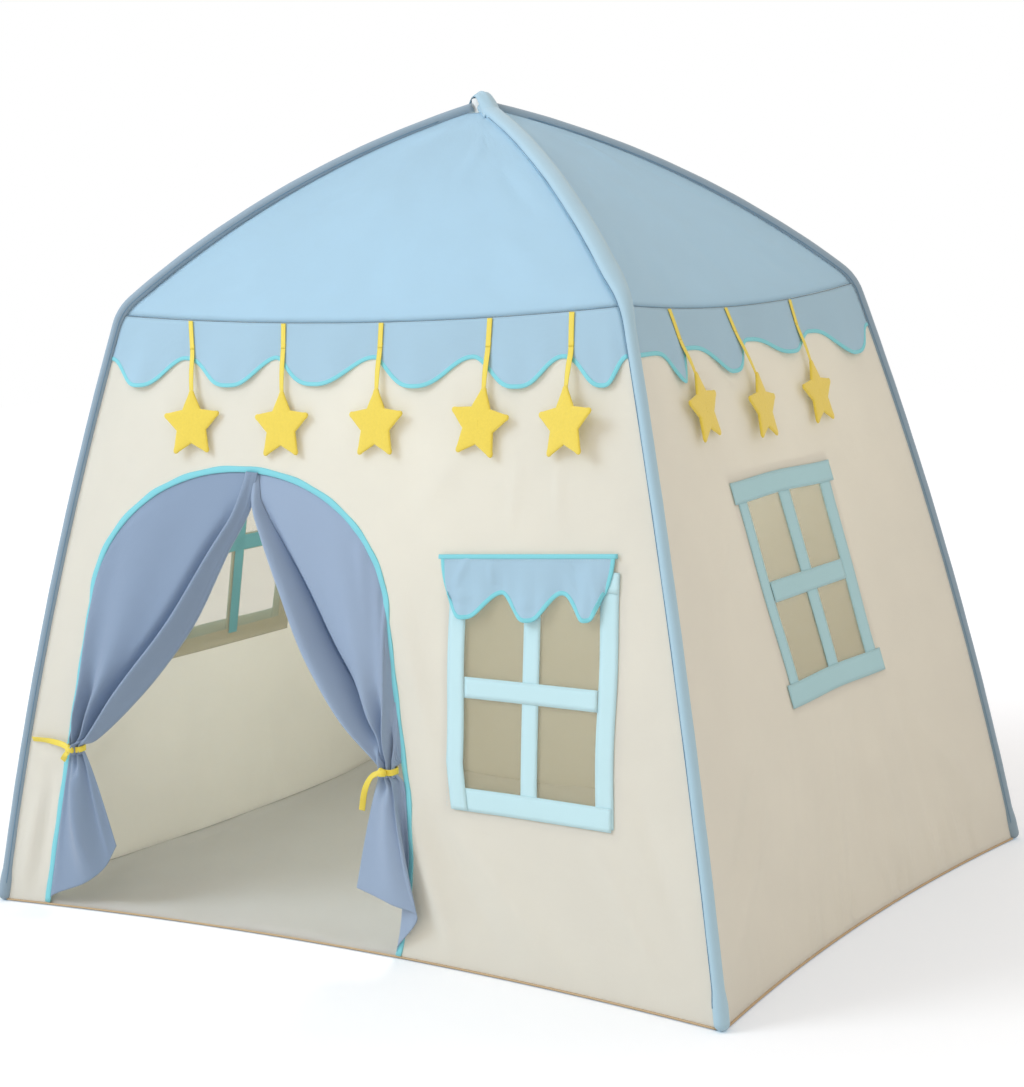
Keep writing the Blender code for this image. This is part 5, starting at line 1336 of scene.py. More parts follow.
def ribbon(name, side_name, share, hook, end_across):
    """The satin ribbon of a star, and its sewn end that lies flat on the valance."""
    face = FACES[side_name]
    place = valance_place(face, *SCALLOPS[side_name])
    top = float(seam_height(share)) - RIBBON_BELOW_SEAM
    start_side = share * float(face.limit_at_height(top))
    lean = (float(hook @ face.sideways) - start_side) / (top - float(hook[2]))

    def lying(height, layer):
        height = np.reshape(height, -1)
        side = start_side + lean * (top - height)
        a = (side / (face.limit_at_height(height) - VALANCE_END_GAP) + 1.0) / 2.0
        bottom = place(a, np.ones_like(a))[:, 2]
        crest = place(a, np.zeros_like(a))[:, 2]
        return place(a, clip((crest - height) / (crest - bottom))) + face.outward * (CLOTH / 2.0 + layer)

    def band(piece_name, middle, half, normals):
        mesh = tape_mesh(piece_name, middle - half, middle + half, normals, RIBBON_THICKNESS / 2.0)
        piece = add_piece(piece_name, mesh, "ribbon")
        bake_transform(piece)

    middle = lying(np.linspace(top, SEWN_END_BOTTOM, SEWN_END_POINTS), SEWN_END_LAYER)
    normals = np.tile(face.outward, (len(middle), 1))
    band(f"{name}_ribbon_end", middle, face.sideways * RIBBON_WIDTH / 2.0, normals)
    start = lying(RIBBON_START, RIBBON_LAYER)[0]
    bend = lying(SEAM_HEIGHT - VALANCE_CUSP_DROP + RIBBON_BEND_RISE, RIBBON_BEND_LAYER)[0]
    t = even(RIBBON_POINTS)[:, None]
    lower = bend + (hook - bend) * t + face.outward * RIBBON_BOW * np.sin(np.pi * t)
    upper = start + (bend - start) * even(RIBBON_UPPER_POINTS)[:-1, None]
    path = np.vstack([upper, lower])
    index = np.arange(len(path))
    turned = clip((index - RIBBON_TURN_START) / (len(path) - 1 - RIBBON_TURN_START))[:, None]
    turned = turned * turned * (3.0 - 2.0 * turned)
    sides = unit(face.sideways * (1.0 - turned) + end_across * turned)
    normals = unit(np.cross(sides, np.gradient(path, axis=0)))
    narrow = np.interp(index, [0, len(path) * 0.5, len(path) - 1], [1.0, 1.0, RIBBON_END_SHARE])[:, None]
    band(f"{name}_ribbon", path, sides * RIBBON_WIDTH / 2.0 * narrow, normals)


# Window dressings

def strip_place(window, span, layer, wavy, seed):
    """Place function of a strip, its long outer edges a little wavy."""
    x0, x1, z0, z1 = span
    tapers = window is WINDOWS["front"] and x1 < 0
    outward = 1.0 if x1 > 0 else -1.0
    wave_x, wave_z = STRIP_WAVE_RATES

    def place(a, b):
        z = z0 + (z1 - z0) * b
        x = x0 + (x1 - x0) * a + wavy[0] * STRIP_WAVE * np.sin(wave_x * z + seed) * outward
        if tapers:
            x = x + STRIP_TAPER * clip((STRIP_TAPER_TOP - z) / STRIP_TAPER_LENGTH)
        z = z + wavy[1] * STRIP_WAVE * np.sin(wave_z * x + seed)
        height = window.middle + z
        return window.face.wall(window.side_at(x, height), height, layer)

    return place


def strip_mesh(window, span, layer, wavy=(0, 0), seed=0.0):
    """A strip between two places to the side and two heights."""
    width, length = span[1] - span[0], span[3] - span[2]
    columns, rows = max(3, int(width / STRIP_STEP)), max(3, int(length / STRIP_STEP))
    return grid_mesh("strip", columns, rows, strip_place(window, span, layer, wavy, seed), (width, length))


def strip_stitches(window, span, layer):
    """The two rows of stitches along a strip's long edges."""
    x0, x1, z0, z1 = span
    left, right, low, high = x0 + STITCH_INSET, x1 - STITCH_INSET, z0 + STITCH_INSET, z1 - STITCH_INSET
    if z1 - z0 > x1 - x0:
        lines = ((left, left, low, high), (right, right, low, high))
    else:
        lines = ((left, right, low, low), (left, right, high, high))
    rows = []
    for start_x, end_x, start_z, end_z in lines:
        t = even(STITCH_ROW_POINTS)
        height = window.middle + (start_z + (end_z - start_z) * t)
        side = window.side_at(start_x + (end_x - start_x) * t, height)
        path, normals = window.face.wall(side, height, layer), window.face.normal(side, height)
        rows.append(stitch_mesh("stitches", path, normals, CLOTH / 2.0))
    return rows


def window_pieces(side_name):
    """Strips, stitches and gauze of one window."""
    window = WINDOWS[side_name]
    front = side_name == "front"
    left_strip, right_strip, muntin, bar, lintel, sill = FRONT_STRIPS if front else SIDE_STRIPS
    half_w, half_h = window.width / 2.0, window.height / 2.0
    over = -FRONT_LINTEL_SHORT if front else LINTEL_OVERHANG
    low, high = WINDOW_LAYER, WINDOW_LAYER + STRIP_LAYER_STEP
    inner_left, inner_right = left_strip - half_w, half_w - right_strip
    side_end, muntin_end = half_h - STRIP_END_INSET, half_h - MUNTIN_END_INSET
    parts = [
        ((-half_w, inner_left, -side_end, side_end), low, (1, 0)),
        ((inner_right, half_w, -side_end, side_end), low, (1, 0)),
        ((-muntin / 2.0, muntin / 2.0, -muntin_end, muntin_end), low, (0, 0)),
        ((inner_left, inner_right, -bar / 2.0, bar / 2.0), high, (0, 0)),
        ((-half_w - over, half_w + over, half_h - lintel, half_h), high, (0, 1)),
        ((-half_w - over, half_w + over, -half_h, -half_h + sill), high, (0, 1)),
    ]
    if front:
        foot = LEFT_STRIP_FOOT - half_h
        sill_start, sill_end = left_strip * 0.5 - half_w, half_w - SILL_END_INSET
        parts[0] = ((-half_w, inner_left, foot, side_end), high + STRIP_LAYER_STEP, (1, 0))
        parts[5] = ((sill_start, sill_end, -half_h, -half_h + sill), high, (0, 0))
    meshes = [strip_mesh(window, *part, WINDOW_SEEDS[side_name]) for part in parts]
    # Backs of the muntin and bar inside the gauze, in the strips' teal painted darker, as painted shade for
    # the inside view
    in_x, in_z = BAR_BACK_INSETS
    backs = [strip_mesh(window, (x0 + in_x, x1 - in_x, z0 + in_z, z1 - in_z), BAR_BACK_LAYER)
             for (x0, x1, z0, z1), _, _ in parts[2:4]]
    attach(joined(f"{side_name}_window_bar_backs", backs, "bar_back_painted_shade"), ROOT)
    area = sum(one_side_area(mesh) for mesh in meshes)
    # The side windows take the strip cloth painted darker, as painted shade
    finish = "strip" if front else "strip_painted_shade"
    strips = joined(f"{side_name}_window_strips", meshes, finish, [f"{side_name}_window_frame"])
    thicken(strips, CLOTH)
    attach(strips, ROOT)
    rows = [row for span, layer, _ in parts for row in strip_stitches(window, span, layer)]
    stitches = joined(f"{side_name}_window_stitching", rows, "thread")
    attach(stitches, ROOT)
    flat = (window.width + GAUZE_BORDER, window.height + GAUZE_BORDER)

    def gauze_place(a, b):
        height = window.middle + (b - 0.5) * flat[1]
        return window.face.wall(window.side_at((a - 0.5) * flat[0], height), height, -WINDOW_LAYER)

    mesh = grid_mesh(f"{side_name}_window_gauze", GAUZE_COLUMNS, GAUZE_ROWS, gauze_place, flat)
    gauze = cloth_piece(mesh.name, mesh, "mesh", GAUZE_THICKNESS, [f"{side_name}_window_mesh"])
    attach(gauze, ROOT)
    one_side_area(gauze.data) / 2.0


def window_valance_piece():
    """The scalloped strip over the front window, bound all round."""
    window = WINDOWS["front"]
    face = window.face
    body = "front_window_valance"
    top = window.middle + window.height / 2.0 + WINDOW_VALANCE_RISE
    half = window.width / 2.0 + WINDOW_VALANCE_OVERHANG
    centre = window.centre + WINDOW_VALANCE_SHIFT
    lobe_depth = WINDOW_VALANCE_LOBE_DROP - WINDOW_VALANCE_CUSP_DROP

    def place(a, b):
        share = 2.0 * a - 1.0
        lobe, within = lobe_shape(share, WINDOW_CUSP_SHARES, WINDOW_LOW_SHARES)
        upper = top + WINDOW_VALANCE_TILT * share
        bottom = upper - WINDOW_VALANCE_CUSP_DROP - lobe_depth * lobe
        height = upper + (bottom - upper) * b
        narrow = 1.0 - WINDOW_VALANCE_NARROWING * b ** 2 * np.abs(share) ** WINDOW_VALANCE_SIDE_POWER
        flute = WINDOW_VALANCE_FLUTE * np.sin(6.0 * math.pi * within) * np.sin(np.pi * within) * b
        across_power, down_power = WINDOW_VALANCE_CURL_POWERS
        curl = WINDOW_VALANCE_BULGE * np.sin(np.pi * within) ** across_power * b ** down_power
        side = centre + share * half * narrow
        crease = sum(ridge(side, height, fold) for fold in WINDOW_VALANCE_FOLDS)
        return face.wall(side, height, WINDOW_VALANCE_LAYER + curl + flute + crease)

    columns = LOBE_COLUMNS * (len(WINDOW_CUSP_SHARES) + 1)
    cloth, foot = valance_meshes(body, place, columns, (2.0 * half, WINDOW_VALANCE_LOBE_DROP))
    area = one_side_area(cloth)
    valance = cloth_piece(f"{body}_cloth", cloth, "roof", CLOTH, [body])
    edges = [foot]
    b = even(WINDOW_VALANCE_SIDE_POINTS)
    for side, a in ((-1.0, 0.0), (1.0, 1.0)):
        line = place(np.full_like(b, a), b)
        outer = line + face.sideways * side * BINDING_OVERLAP
        inner = line - face.sideways * side * VALANCE_BINDING
        edges.append(binding_mesh("edge", inner, outer, np.tile(face.outward, (len(b), 1))))
    share = np.linspace(-HEADING_REACH_SHARE, HEADING_REACH_SHARE, HEADING_POINTS)
    side, level = centre + share * half, top + WINDOW_VALANCE_TILT * share
    upper = face.wall(side, level + HEADING_RISE, HEADING_LAYER)
    lower = face.wall(side, level - VALANCE_BINDING, HEADING_LAYER)
    edges.append(binding_mesh("edge", lower, upper, face.normal(side, level), HEADING_HALF_THICKNESS))
    bound = joined(f"{body}_binding", edges, "binding")
    share = np.linspace(-HEADING_STITCH_SHARE, HEADING_STITCH_SHARE, HEADING_POINTS)
    side, level = centre + share * half, top + WINDOW_VALANCE_TILT * share - HEADING_STITCH_DROP
    line = face.wall(side, level, HEADING_STITCH_LAYER)
    mesh = stitch_mesh("stitches", line, face.normal(side, level), CLOTH / 2.0 + HEADING_STITCH_LIFT)
    stitches = add_piece(f"{body}_stitching", mesh, "thread")
    point = tuple(face.wall(centre, top))
    for piece in (valance, bound, stitches):
        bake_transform(piece)


# Door binding and curtains

def door_binding_piece():
    """The bound edge of the door, drawn into small puckers on the right."""
    line = door_outline(BINDING_FOOT, *BINDING_STEPS)
    share = even(len(line))
    outer = inset_outline(line, BINDING_OUTWARD)
    inner = inset_outline(line, -(BINDING_WIDTH + BINDING_UNEVEN * np.sin(share * BINDING_UNEVEN_RATE)))
    puckered = clip((share - BINDING_PUCKER_START) / BINDING_PUCKER_BLEND)
    layer = BINDING_LAYER + BINDING_PUCKER * np.sin(share * BINDING_PUCKER_RATE) * puckered
    normals = FRONT.normal(line[:, 0], line[:, 1])
    inner, outer = [FRONT.wall(edge[:, 0], edge[:, 1], layer) for edge in (inner, outer)]
    mesh = binding_mesh("door_binding_tape", inner, outer, normals, DOOR_BINDING_HALF_THICKNESS)
    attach(add_piece(mesh.name, mesh, "binding", ["door_binding"]), ROOT)


class Tie:
    """Where one curtain is gathered: the side of the door, the height and the middle of the bunch."""

    def __init__(self, side, height):
        self.side = side
        self.height = height
        self.middle = float(jamb(side, height)) - side * TIE_INSET

    def across(self, share):
        """Place of a share of the bunch, from the jamb side to the free side."""
        return self.middle + self.side * BUNCH_HALF_WIDTH * (1.0 - 2.0 * share)


LEFT_TIE = Tie(-1, LEFT_TIE_HEIGHT)
RIGHT_TIE = Tie(1, RIGHT_TIE_HEIGHT)


def bunch_wave(share):
    """Depth of the gathered folds across the bunch, from -1 to 1, less towards its two sides."""
    return np.sin(math.tau * BUNCH_FOLDS * share) * np.sqrt(clip(np.sin(math.pi * share)))


def arch_run(tie):
    """The sewn edge of a curtain, from just over its tie up the jamb and over the arch to the parting."""
    opening = door_outline(0.0, *ARCH_RUN_STEPS)
    outline = inset_outline(opening, -SEWN_EDGE_INWARD)
    if tie.side > 0:
        outline = outline[::-1]
    parting = LEFT_PARTING if tie.side < 0 else RIGHT_PARTING
    keep = (outline[:, 1] > tie.height + TIE_WIDTH) & ((outline[:, 0] - parting) * tie.side > 0.0)
    top = outline[outline[:, 1] > DOOR_SPRING_HEIGHT]
    top = top[np.argsort(top[:, 0])]
    return np.vstack([outline[keep], [parting, float(np.interp(parting, top[:, 0], top[:, 1]))]])


def along_run(run, share):
    """Points at shares of a run's length."""
    lengths = run_lengths(run)
    target = share * lengths[-1]
    return np.interp(target, lengths, run[:, 0]), np.interp(target, lengths, run[:, 1])


DRAPE_COLUMNS = 84
TURN_COLUMNS = 8
CUFF_COLUMNS = 26
DRAPE_ROWS = 96
CUFF_PLACES_SHARES = (0.0, 0.10, 0.25, 0.50, 0.80, 1.0)
CUFF_GAP = 0.0014
CUFF_MOST_SHARE = 0.45
CUFF_TURN_RADIUS = 0.0045
CUFF_TURN_SHARE = 0.12
NECK_GAP = 0.0016
NECK_DROP = 0.30
FLUTE_DEPTH = 0.0095
FLUTE_TURNS = 3.3
SLACK_DEPTH = 0.0035
VALLEY_DEPTH = 0.028
BILLOW_DEPTH = 0.010
PUCKERS = (0.0016, 0.0040)
PUCKER_TURNS = 7.0
SEWN_TOP_SHARE = 0.06
SEWN_SIDE_SHARE = 0.03
SEWN_DEPTH = 0.0012
SEWN_SIDE_LEAST = 0.15
# Where the drape's folds lie and how far they reach, in shares up the drape or across it
BUNCH_POWER = 6
FLUTE_PLACE = 0.16
FLUTE_SPREAD = 0.17
FLUTE_POWER = 1.15
FLUTE_PHASE = 0.12
VALLEY_START = 0.02
VALLEY_REACH = 0.9
VALLEY_POWER = 0.8
VALLEY_CUFF_SHARE = 1.10
VALLEY_WIDTH = 0.008
VALLEY_WIDTH_SHARE = 0.10
PLEAT_START = 0.35
PLEAT_REACH = 0.55
PLEAT_END = 1.02
PLEAT_FADE = 0.05
PUCKER_PHASE = 0.6
PUCKER_PLACE = 0.035
PUCKER_FOOT = 0.18
PUCKER_TOP = 0.75
PUCKER_FADE = 0.15
CREST_SHARES = (0.55, 0.45)
PUFF_POWER = 1.25
PARTING_START = 0.90
PARTING_REACH = 0.10
PARTING_FLATTENING = 0.6
EDGE_POINTS = 60
ROW_POINTS = 160
DRAPE_FLAT_WIDTH = 0.62
CREST_SHARE = 0.74
# The drape's foot under its tie, as a share of its length
DRAPE_FOOT = -0.05
DRAPE_CUT = (0.46, 0.50)
DRAPE_HEM_SHARE = 1.02
TAIL_CUT = (0.17, 0.24)
TAIL_HEM_SHARE = 1.01


class Drape:
    """The upper drape of one curtain, with its free edge folded back into a soft cuff."""

    def __init__(self, tie, edge, cuffs, pleats, parting_layer, ripple, peak):
        self.tie = tie
        columns = np.array(edge).T
        self.edge = np.stack([smooth_interp(even(EDGE_POINTS), even(len(edge)), column)
                              for column in columns], axis=1)
        self.cuffs = cuffs
        self.pleats = pleats
        self.parting_layer = parting_layer
        self.ripple = ripple
        self.peak = peak
        self.pucker = PUCKERS[0 if tie.side < 0 else 1]
        self.run = arch_run(tie)
        self.neck = tie.height + TIE_WIDTH / 2.0 + NECK_GAP

    def flat(self, a, b):
        """Place to the side and height of a share across and up, before the folds."""
        x_top, z_top = along_run(self.run, a)
        x_low, z_low = self.tie.across(a), self.neck
        up = np.maximum(b, 0.0)
        x = x_low + (x_top - x_low) * up
        z = z_low + (z_top - z_low) * up
        end_x, end_z = self.run[-1]
        edge_x, edge_z = along_run(self.edge, up)
        pull = a ** EDGE_PULL_POWER
        x = x + pull * (edge_x - (self.tie.across(1.0) + (end_x - self.tie.across(1.0)) * up))
        z = z + pull * (edge_z - (z_low + (end_z - z_low) * up))
        return x, z + np.minimum(b, 0.0) * NECK_DROP

    def base_layer(self, a, b, distance, cuff):
        """How far the drape stands out: flutes that run into the tie, pleats at the arch and the
        deep fold beside the cuff."""
        up = clip(b)
        stand = BUNCH_STANDOFF * (1.0 - up) ** 2
        bunch = BUNCH_HALF_DEPTH * bunch_wave(a) * (1.0 - up) ** BUNCH_POWER
        flutes = FLUTE_DEPTH * bell(up - FLUTE_PLACE, FLUTE_SPREAD) + SLACK_DEPTH * (1.0 - up) * up * 4.0
        wave = np.sin(math.tau * (FLUTE_TURNS * a ** FLUTE_POWER + FLUTE_PHASE))
        wave = wave * np.sqrt(clip(np.sin(np.pi * a)))
        valley = VALLEY_DEPTH * np.sin(np.pi * clip((up - VALLEY_START) / VALLEY_REACH)) ** VALLEY_POWER
        valley = valley * bell(distance - cuff * VALLEY_CUFF_SHARE, VALLEY_WIDTH + VALLEY_WIDTH_SHARE * cuff)
        billow = BILLOW_DEPTH * np.sin(np.pi * a) * np.sin(np.pi * up)
        pleat = sum(depth * bell(a - centre, spread) * clip((up - PLEAT_START) / PLEAT_REACH) ** 2
                    * clip((PLEAT_END - up) / PLEAT_FADE) for centre, spread, depth in self.pleats)
        pucker = self.pucker * np.sin(math.tau * up * PUCKER_TURNS + PUCKER_PHASE)
        pucker = pucker * bell(a - PUCKER_PLACE, PUCKER_PLACE)
        pucker = pucker * clip((up - PUCKER_FOOT) / PUCKER_FADE) * clip((PUCKER_TOP - up) / PUCKER_FADE)
        pleat = pleat + pucker
        sewn = clip((1.0 - up) / SEWN_TOP_SHARE)
        sewn_side = clip(a / SEWN_SIDE_SHARE)
        held = np.minimum(sewn, np.maximum(sewn_side, SEWN_SIDE_LEAST))
        free = (flutes * wave - valley + billow + pleat) * held
        return stand + bunch + free - SEWN_DEPTH * (1.0 - sewn)

    def mesh(self, name):
        """The whole sheet: drape, turned edge and cuff."""
        rows = DRAPE_FOOT + (1.0 - DRAPE_FOOT) * even(DRAPE_ROWS + 1)
        columns = DRAPE_COLUMNS + TURN_COLUMNS + CUFF_COLUMNS
        points = np.empty((DRAPE_ROWS + 1, columns + 1, 3))
        fine = even(ROW_POINTS)
        turn = np.linspace(-0.5, 0.5, TURN_COLUMNS + 1)[1:] * math.pi
        for index, b in enumerate(rows):
            x, z = self.flat(fine, np.full_like(fine, b))
            lengths = np.concatenate([[0.0], np.cumsum(np.hypot(np.diff(x), np.diff(z)))])
            width = lengths[-1]
            up = clip(b)
            cuff = min(smooth_interp(up, CUFF_PLACES_SHARES, self.cuffs), CUFF_MOST_SHARE * width)
            radius = min(CUFF_TURN_RADIUS, CUFF_TURN_SHARE * cuff)
            crest = CREST_SHARES[0] + CREST_SHARES[1] * math.cos(up * math.pi / 2.0)
            crest = CREST_SHARE * cuff * crest
            u = even(CUFF_COLUMNS + 1)[1:]
            distance = np.concatenate([width - (width - radius) * even(DRAPE_COLUMNS + 1),
                                       radius - radius * np.cos(turn), radius + (cuff - radius) * u])
            puff = crest * np.sin(np.pi * u ** self.peak) ** PUFF_POWER
            puff = puff + self.ripple * cuff * np.sin(3.0 * np.pi * u) * np.sin(np.pi * up)
            local = np.concatenate([np.zeros(DRAPE_COLUMNS + 1), radius + radius * np.sin(turn),
                                    2.0 * radius * (1.0 - u ** 2) + puff + CUFF_GAP])
            a = np.interp(width - distance, lengths, fine)
            x, z = self.flat(a, np.full_like(a, b))
            base = self.base_layer(a, np.full_like(a, b), distance, cuff)
            near_top = clip((b - PARTING_START) / PARTING_REACH)
            layer = base + local * (1.0 - PARTING_FLATTENING * near_top)
            layer = layer + self.parting_layer * near_top * (local > 0)
            points[index] = FRONT.wall(x, z, layer)
        length = float(self.run[:, 1].max()) - self.neck

        def place(a, b):
            return points[np.rint(b * DRAPE_ROWS).astype(int), np.rint(a * columns).astype(int)]

        return grid_mesh(name, columns, DRAPE_ROWS, place, (DRAPE_FLAT_WIDTH, length))


# Where the drapes cross at the parting, and the ripple and peak of each cuff
LEFT_PARTING_LAYER = 0.004
RIGHT_PARTING_LAYER = 0.0
LEFT_CUFF_FORM = (0.03, 1.55)
RIGHT_CUFF_FORM = (0.10, 1.1)
# Cuff widths from the tie up, and pleats as places across, spreads and depths
LEFT_CUFFS = (0.012, 0.025, 0.040, 0.044, 0.032, 0.022)
RIGHT_CUFFS = (0.012, 0.027, 0.037, 0.036, 0.024, 0.013)
LEFT_PLEATS = ((0.12, 0.030, 0.0030), (0.34, 0.045, -0.0022), (0.62, 0.05, 0.0016))
RIGHT_PLEATS = ((0.10, 0.020, 0.0040), (0.20, 0.022, -0.0036), (0.33, 0.024, 0.0042), (0.45, 0.026, -0.0034),
                (0.58, 0.03, 0.0028))


def curtain_piece(name, finish, *drape):
    """One upper drape."""
    mesh = Drape(*drape).mesh(f"{name}_drape")
    area = one_side_area(mesh)
    curtain = cloth_piece(mesh.name, mesh, finish, CLOTH, [name])
    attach(curtain, ROOT)
    width, length = DRAPE_CUT
    width = max(width, area / length * DRAPE_HEM_SHARE)


def tail_piece(name, tie, hem, edge_inset, least_layer, folds, finish):
    """The loose part of a curtain under its tie; its hem is given as reach, rise and billow."""
    top = tie.height - TAIL_TOP_DROP
    foot = float(jamb(tie.side, 0.0))

    def place(a, b):
        across, rise, out = (smooth_interp(a, HEM_COLUMN_SHARES, shares) * size for size, shares in hem)
        z = top + (TAIL_FOOT_GAP + rise - top) * b
        x = tie.across(a)
        x = x + (foot + across - x) * b ** TAIL_FLARE_POWER
        pull = (1.0 - a) ** TAIL_EDGE_POWER * clip(b / TAIL_PULL_SHARE)
        x = x + (jamb(tie.side, z) - tie.side * edge_inset - x) * pull
        fade = (1.0 - b) ** TAIL_EDGE_POWER
        wave = bunch_wave(a) * BUNCH_HALF_DEPTH * fade * (1.0 - pull)
        stand = BUNCH_STANDOFF * (1.0 - pull)
        layer = stand + (out - stand) * b + wave + tail_relief(a, b, *folds) * (1.0 - pull)
        return FRONT.wall(x, z, np.maximum(layer, least_layer))

    mesh = grid_mesh(f"{name}_cloth", TAIL_COLUMNS, TAIL_ROWS, place, TAIL_FLAT)
    area = one_side_area(mesh)
    tail = cloth_piece(mesh.name, mesh, finish, CLOTH, [name])
    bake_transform(tail)
    width, length = TAIL_CUT
    width = max(width, area / length * TAIL_HEM_SHARE)


# The growth of the folds down a tail, each fold as its place across, its shift down the tail, its width and
# depth, and the pocket under the tie as its place and depth
LEFT_TAIL_FOLDS = ((0.90, 0.05),
                   ((0.44, 0.12, 0.16, 0.026), (0.12, 0.0, 0.06, 0.007), (0.86, 0.0, 0.07, 0.006)),
                   (0.42, 0.013))
RIGHT_TAIL_FOLDS = ((0.85, 0.08), ((0.34, 0.06, 0.10, 0.013), (0.72, -0.05, 0.13, 0.011)), (0.72, 0.007))
POCKET_WIDTH = 0.10
POCKET_DROP = 0.13
POCKET_LENGTH = 0.07


def tail_relief(a, b, growth, folds, pocket):
    """Folds that run down a tail, and the pocket under its tie."""
    grow = np.sin(np.pi * clip(b * growth[0] + growth[1]))
    ridges = sum(depth * bell(a - place - shift * b, width) for place, shift, width, depth in folds)
    hollow = pocket[1] * bell(a - pocket[0], POCKET_WIDTH) * bell(b - POCKET_DROP, POCKET_LENGTH)
    return grow * ridges - hollow


# Curtain ties

# Loose ends as places to the side, rises and layers, in shares of an end's reach
LEFT_LONG_END = ((0.0, 0.0, 0.9), (-0.33, 0.04, 0.3), (-0.67, 0.065, 0.1), (-1.0, 0.065, 0.0))
LEFT_SHORT_END = ((0.0, -0.07, 0.9), (-0.5, -0.36, 0.6), (-1.0, -0.79, 0.2))
RIGHT_END = ((0.0, 0.0, 0.9), (-0.43, -0.17, 0.8), (-0.77, -0.64, 0.6), (-1.0, -1.32, 0.3))
KNOT_REACH = BUNCH_HALF_DEPTH + 0.0012 + 0.0016 + KNOT_RADIUS * 0.9
TIE_END_LAYER = 0.006
KNOT_HALF_SIZES = (0.0078, 0.0056, 0.0066)
TIE_GAPS = (0.0034, 0.0036)
TIE_HALF_THICKNESS = 0.0006
END_HALF_THICKNESS = 0.0005
TURN_POINTS = 64
TURN_CREASES = 5.0
TURN_CREASE_SHARE = 0.03
TURN_SAG = 0.0012
END_POINTS = 40


def tie_piece(name, tie, ends):
    """A satin ribbon tie: its turn, its knot and its loose ends."""
    centre = FRONT.wall(tie.middle, tie.height, BUNCH_STANDOFF)
    half_width, half_depth = BUNCH_HALF_WIDTH + TIE_GAPS[0], BUNCH_HALF_DEPTH + TIE_GAPS[1]
    angles = circle(TURN_POINTS)
    crease = 1.0 + TURN_CREASE_SHARE * np.sin(angles * TURN_CREASES)
    turn = np.stack([half_width * np.cos(angles) * crease, half_depth * np.sin(angles) * crease,
                     TURN_SAG * np.sin(angles * 2.0 + 0.6)], axis=1) + centre
    out = unit(np.stack([np.cos(angles) / half_width, np.sin(angles) / half_depth,
                         np.zeros(TURN_POINTS)], axis=1))
    half = UP * TIE_WIDTH / 2.0
    meshes = [tape_mesh("turn", turn - half, turn + half, out, TIE_HALF_THICKNESS, closed=True)]
    bm = bmesh.new()
    bmesh.ops.create_uvsphere(bm, u_segments=28, v_segments=18, radius=1.0)
    bm.loops.layers.uv.new("cloth")
    for vertex in bm.verts:
        x, y, z = vertex.co
        pinch = 1.0 + 0.10 * math.sin(5.0 * x + 3.0 * z) - 0.14 * math.exp(-((x - 0.25 * z) / 0.16) ** 2)
        vertex.co = [value * size * pinch for value, size in zip((x, y, z), KNOT_HALF_SIZES)]
    for face in bm.faces:
        face.smooth = True
    knot_place = FRONT.wall(tie.middle, tie.height, BUNCH_STANDOFF + KNOT_REACH)
    bmesh.ops.translate(bm, vec=Vector(knot_place), verts=bm.verts)
    meshes.append(finished(bm, "knot"))
    for reach, shares in ends:
        t = even(END_POINTS)
        side, rise, layer = (smooth_interp(t, even(len(shares)), column) for column in np.array(shares).T)
        layers = TIE_END_LAYER + (BUNCH_STANDOFF + KNOT_REACH - TIE_END_LAYER) * clip(layer)
        path = FRONT.wall(tie.middle + side * reach, tie.height + rise * reach, layers)
        tangents = unit(np.gradient(path, axis=0))
        across = unit(np.cross(FRONT.outward, tangents))
        twist = (0.5 * np.sin(t * 5.0 + 0.4))[:, None]
        across = across * np.cos(twist) + np.cross(tangents, across) * np.sin(twist)
        normals = np.cross(tangents, across)
        wide = np.interp(t, [0.0, 0.2, 1.0], [0.55, 1.0, 1.0])[:, None] * TIE_WIDTH / 2.0
        half = across * wide
        meshes.append(tape_mesh("end", path - half, path + half, normals, END_HALF_THICKNESS))
    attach(joined(f"{name}_ribbon", meshes, "ribbon", [name]), ROOT)


# Stage, light and camera

STAGE_HALF = 9.0
STAGE_LEVEL = -0.0004
GLOW_START = 0.75
GLOW_END = 2.2
GLOW_NEAR = (0.06, 0.185, 0.29, 1.0)
GLOW_FAR = (0.24, 0.38, 0.50, 1.0)
FLOOR_WHITE = (0.85, 0.85, 0.85, 1.0)
FLOOR_SEEN = (0.96, 0.85, 0.76, 1.0)
CAMERA_PLACE = (1.9929, -2.9186, 1.027)
CAMERA_PITCH = math.radians(82.017)
CAMERA_ROLL = math.radians(-2.468)
CAMERA_YAW = math.radians(34.061)
IMAGE_SIZE = (1024, 1087)
FOCAL_PIXELS = 2248.0
SENSOR = 36.0


def stage():
    """A pale floor that keeps the tent's shadow, and a white background."""
    bm = bmesh.new()
    bmesh.ops.create_grid(bm, x_segments=1, y_segments=1, size=STAGE_HALF)
    mesh = finished(bm, "stage_floor")
    nodes = Nodes(bpy.data.materials.new("stage_floor"))
    seen = seen_share(nodes)
    away = nodes.add("ShaderNodeVectorMath", {"operation": 'LENGTH'}, {0: nodes.solid_place()})
    far = nodes.add("ShaderNodeMapRange", {}, {"Value": away.outputs["Value"], 1: GLOW_START, 2: GLOW_END})
    nodes.fill(nodes.shader, {"Base Color": nodes.mixed(seen, FLOOR_WHITE, FLOOR_SEEN), "Roughness": 1.0,
                              "Specular IOR Level": 0.0, "Emission Strength": seen,
                              "Emission Color": nodes.mixed(far.outputs[0], GLOW_NEAR, GLOW_FAR)})
    mesh.materials.append(nodes.owner)
    floor = placed("stage_floor", mesh)
    floor.location.z = STAGE_LEVEL


def seen_share(nodes):
    """1 for rays that show the background: from the camera, a gloss or glass."""
    path = nodes.add("ShaderNodeLightPath", {}, {})
    seen = nodes.math('ADD', path.outputs["Is Camera Ray"], path.outputs["Is Glossy Ray"])
    seen = nodes.math('ADD', seen, path.outputs["Is Transmission Ray"])
    return nodes.math('MINIMUM', seen, 1.0)


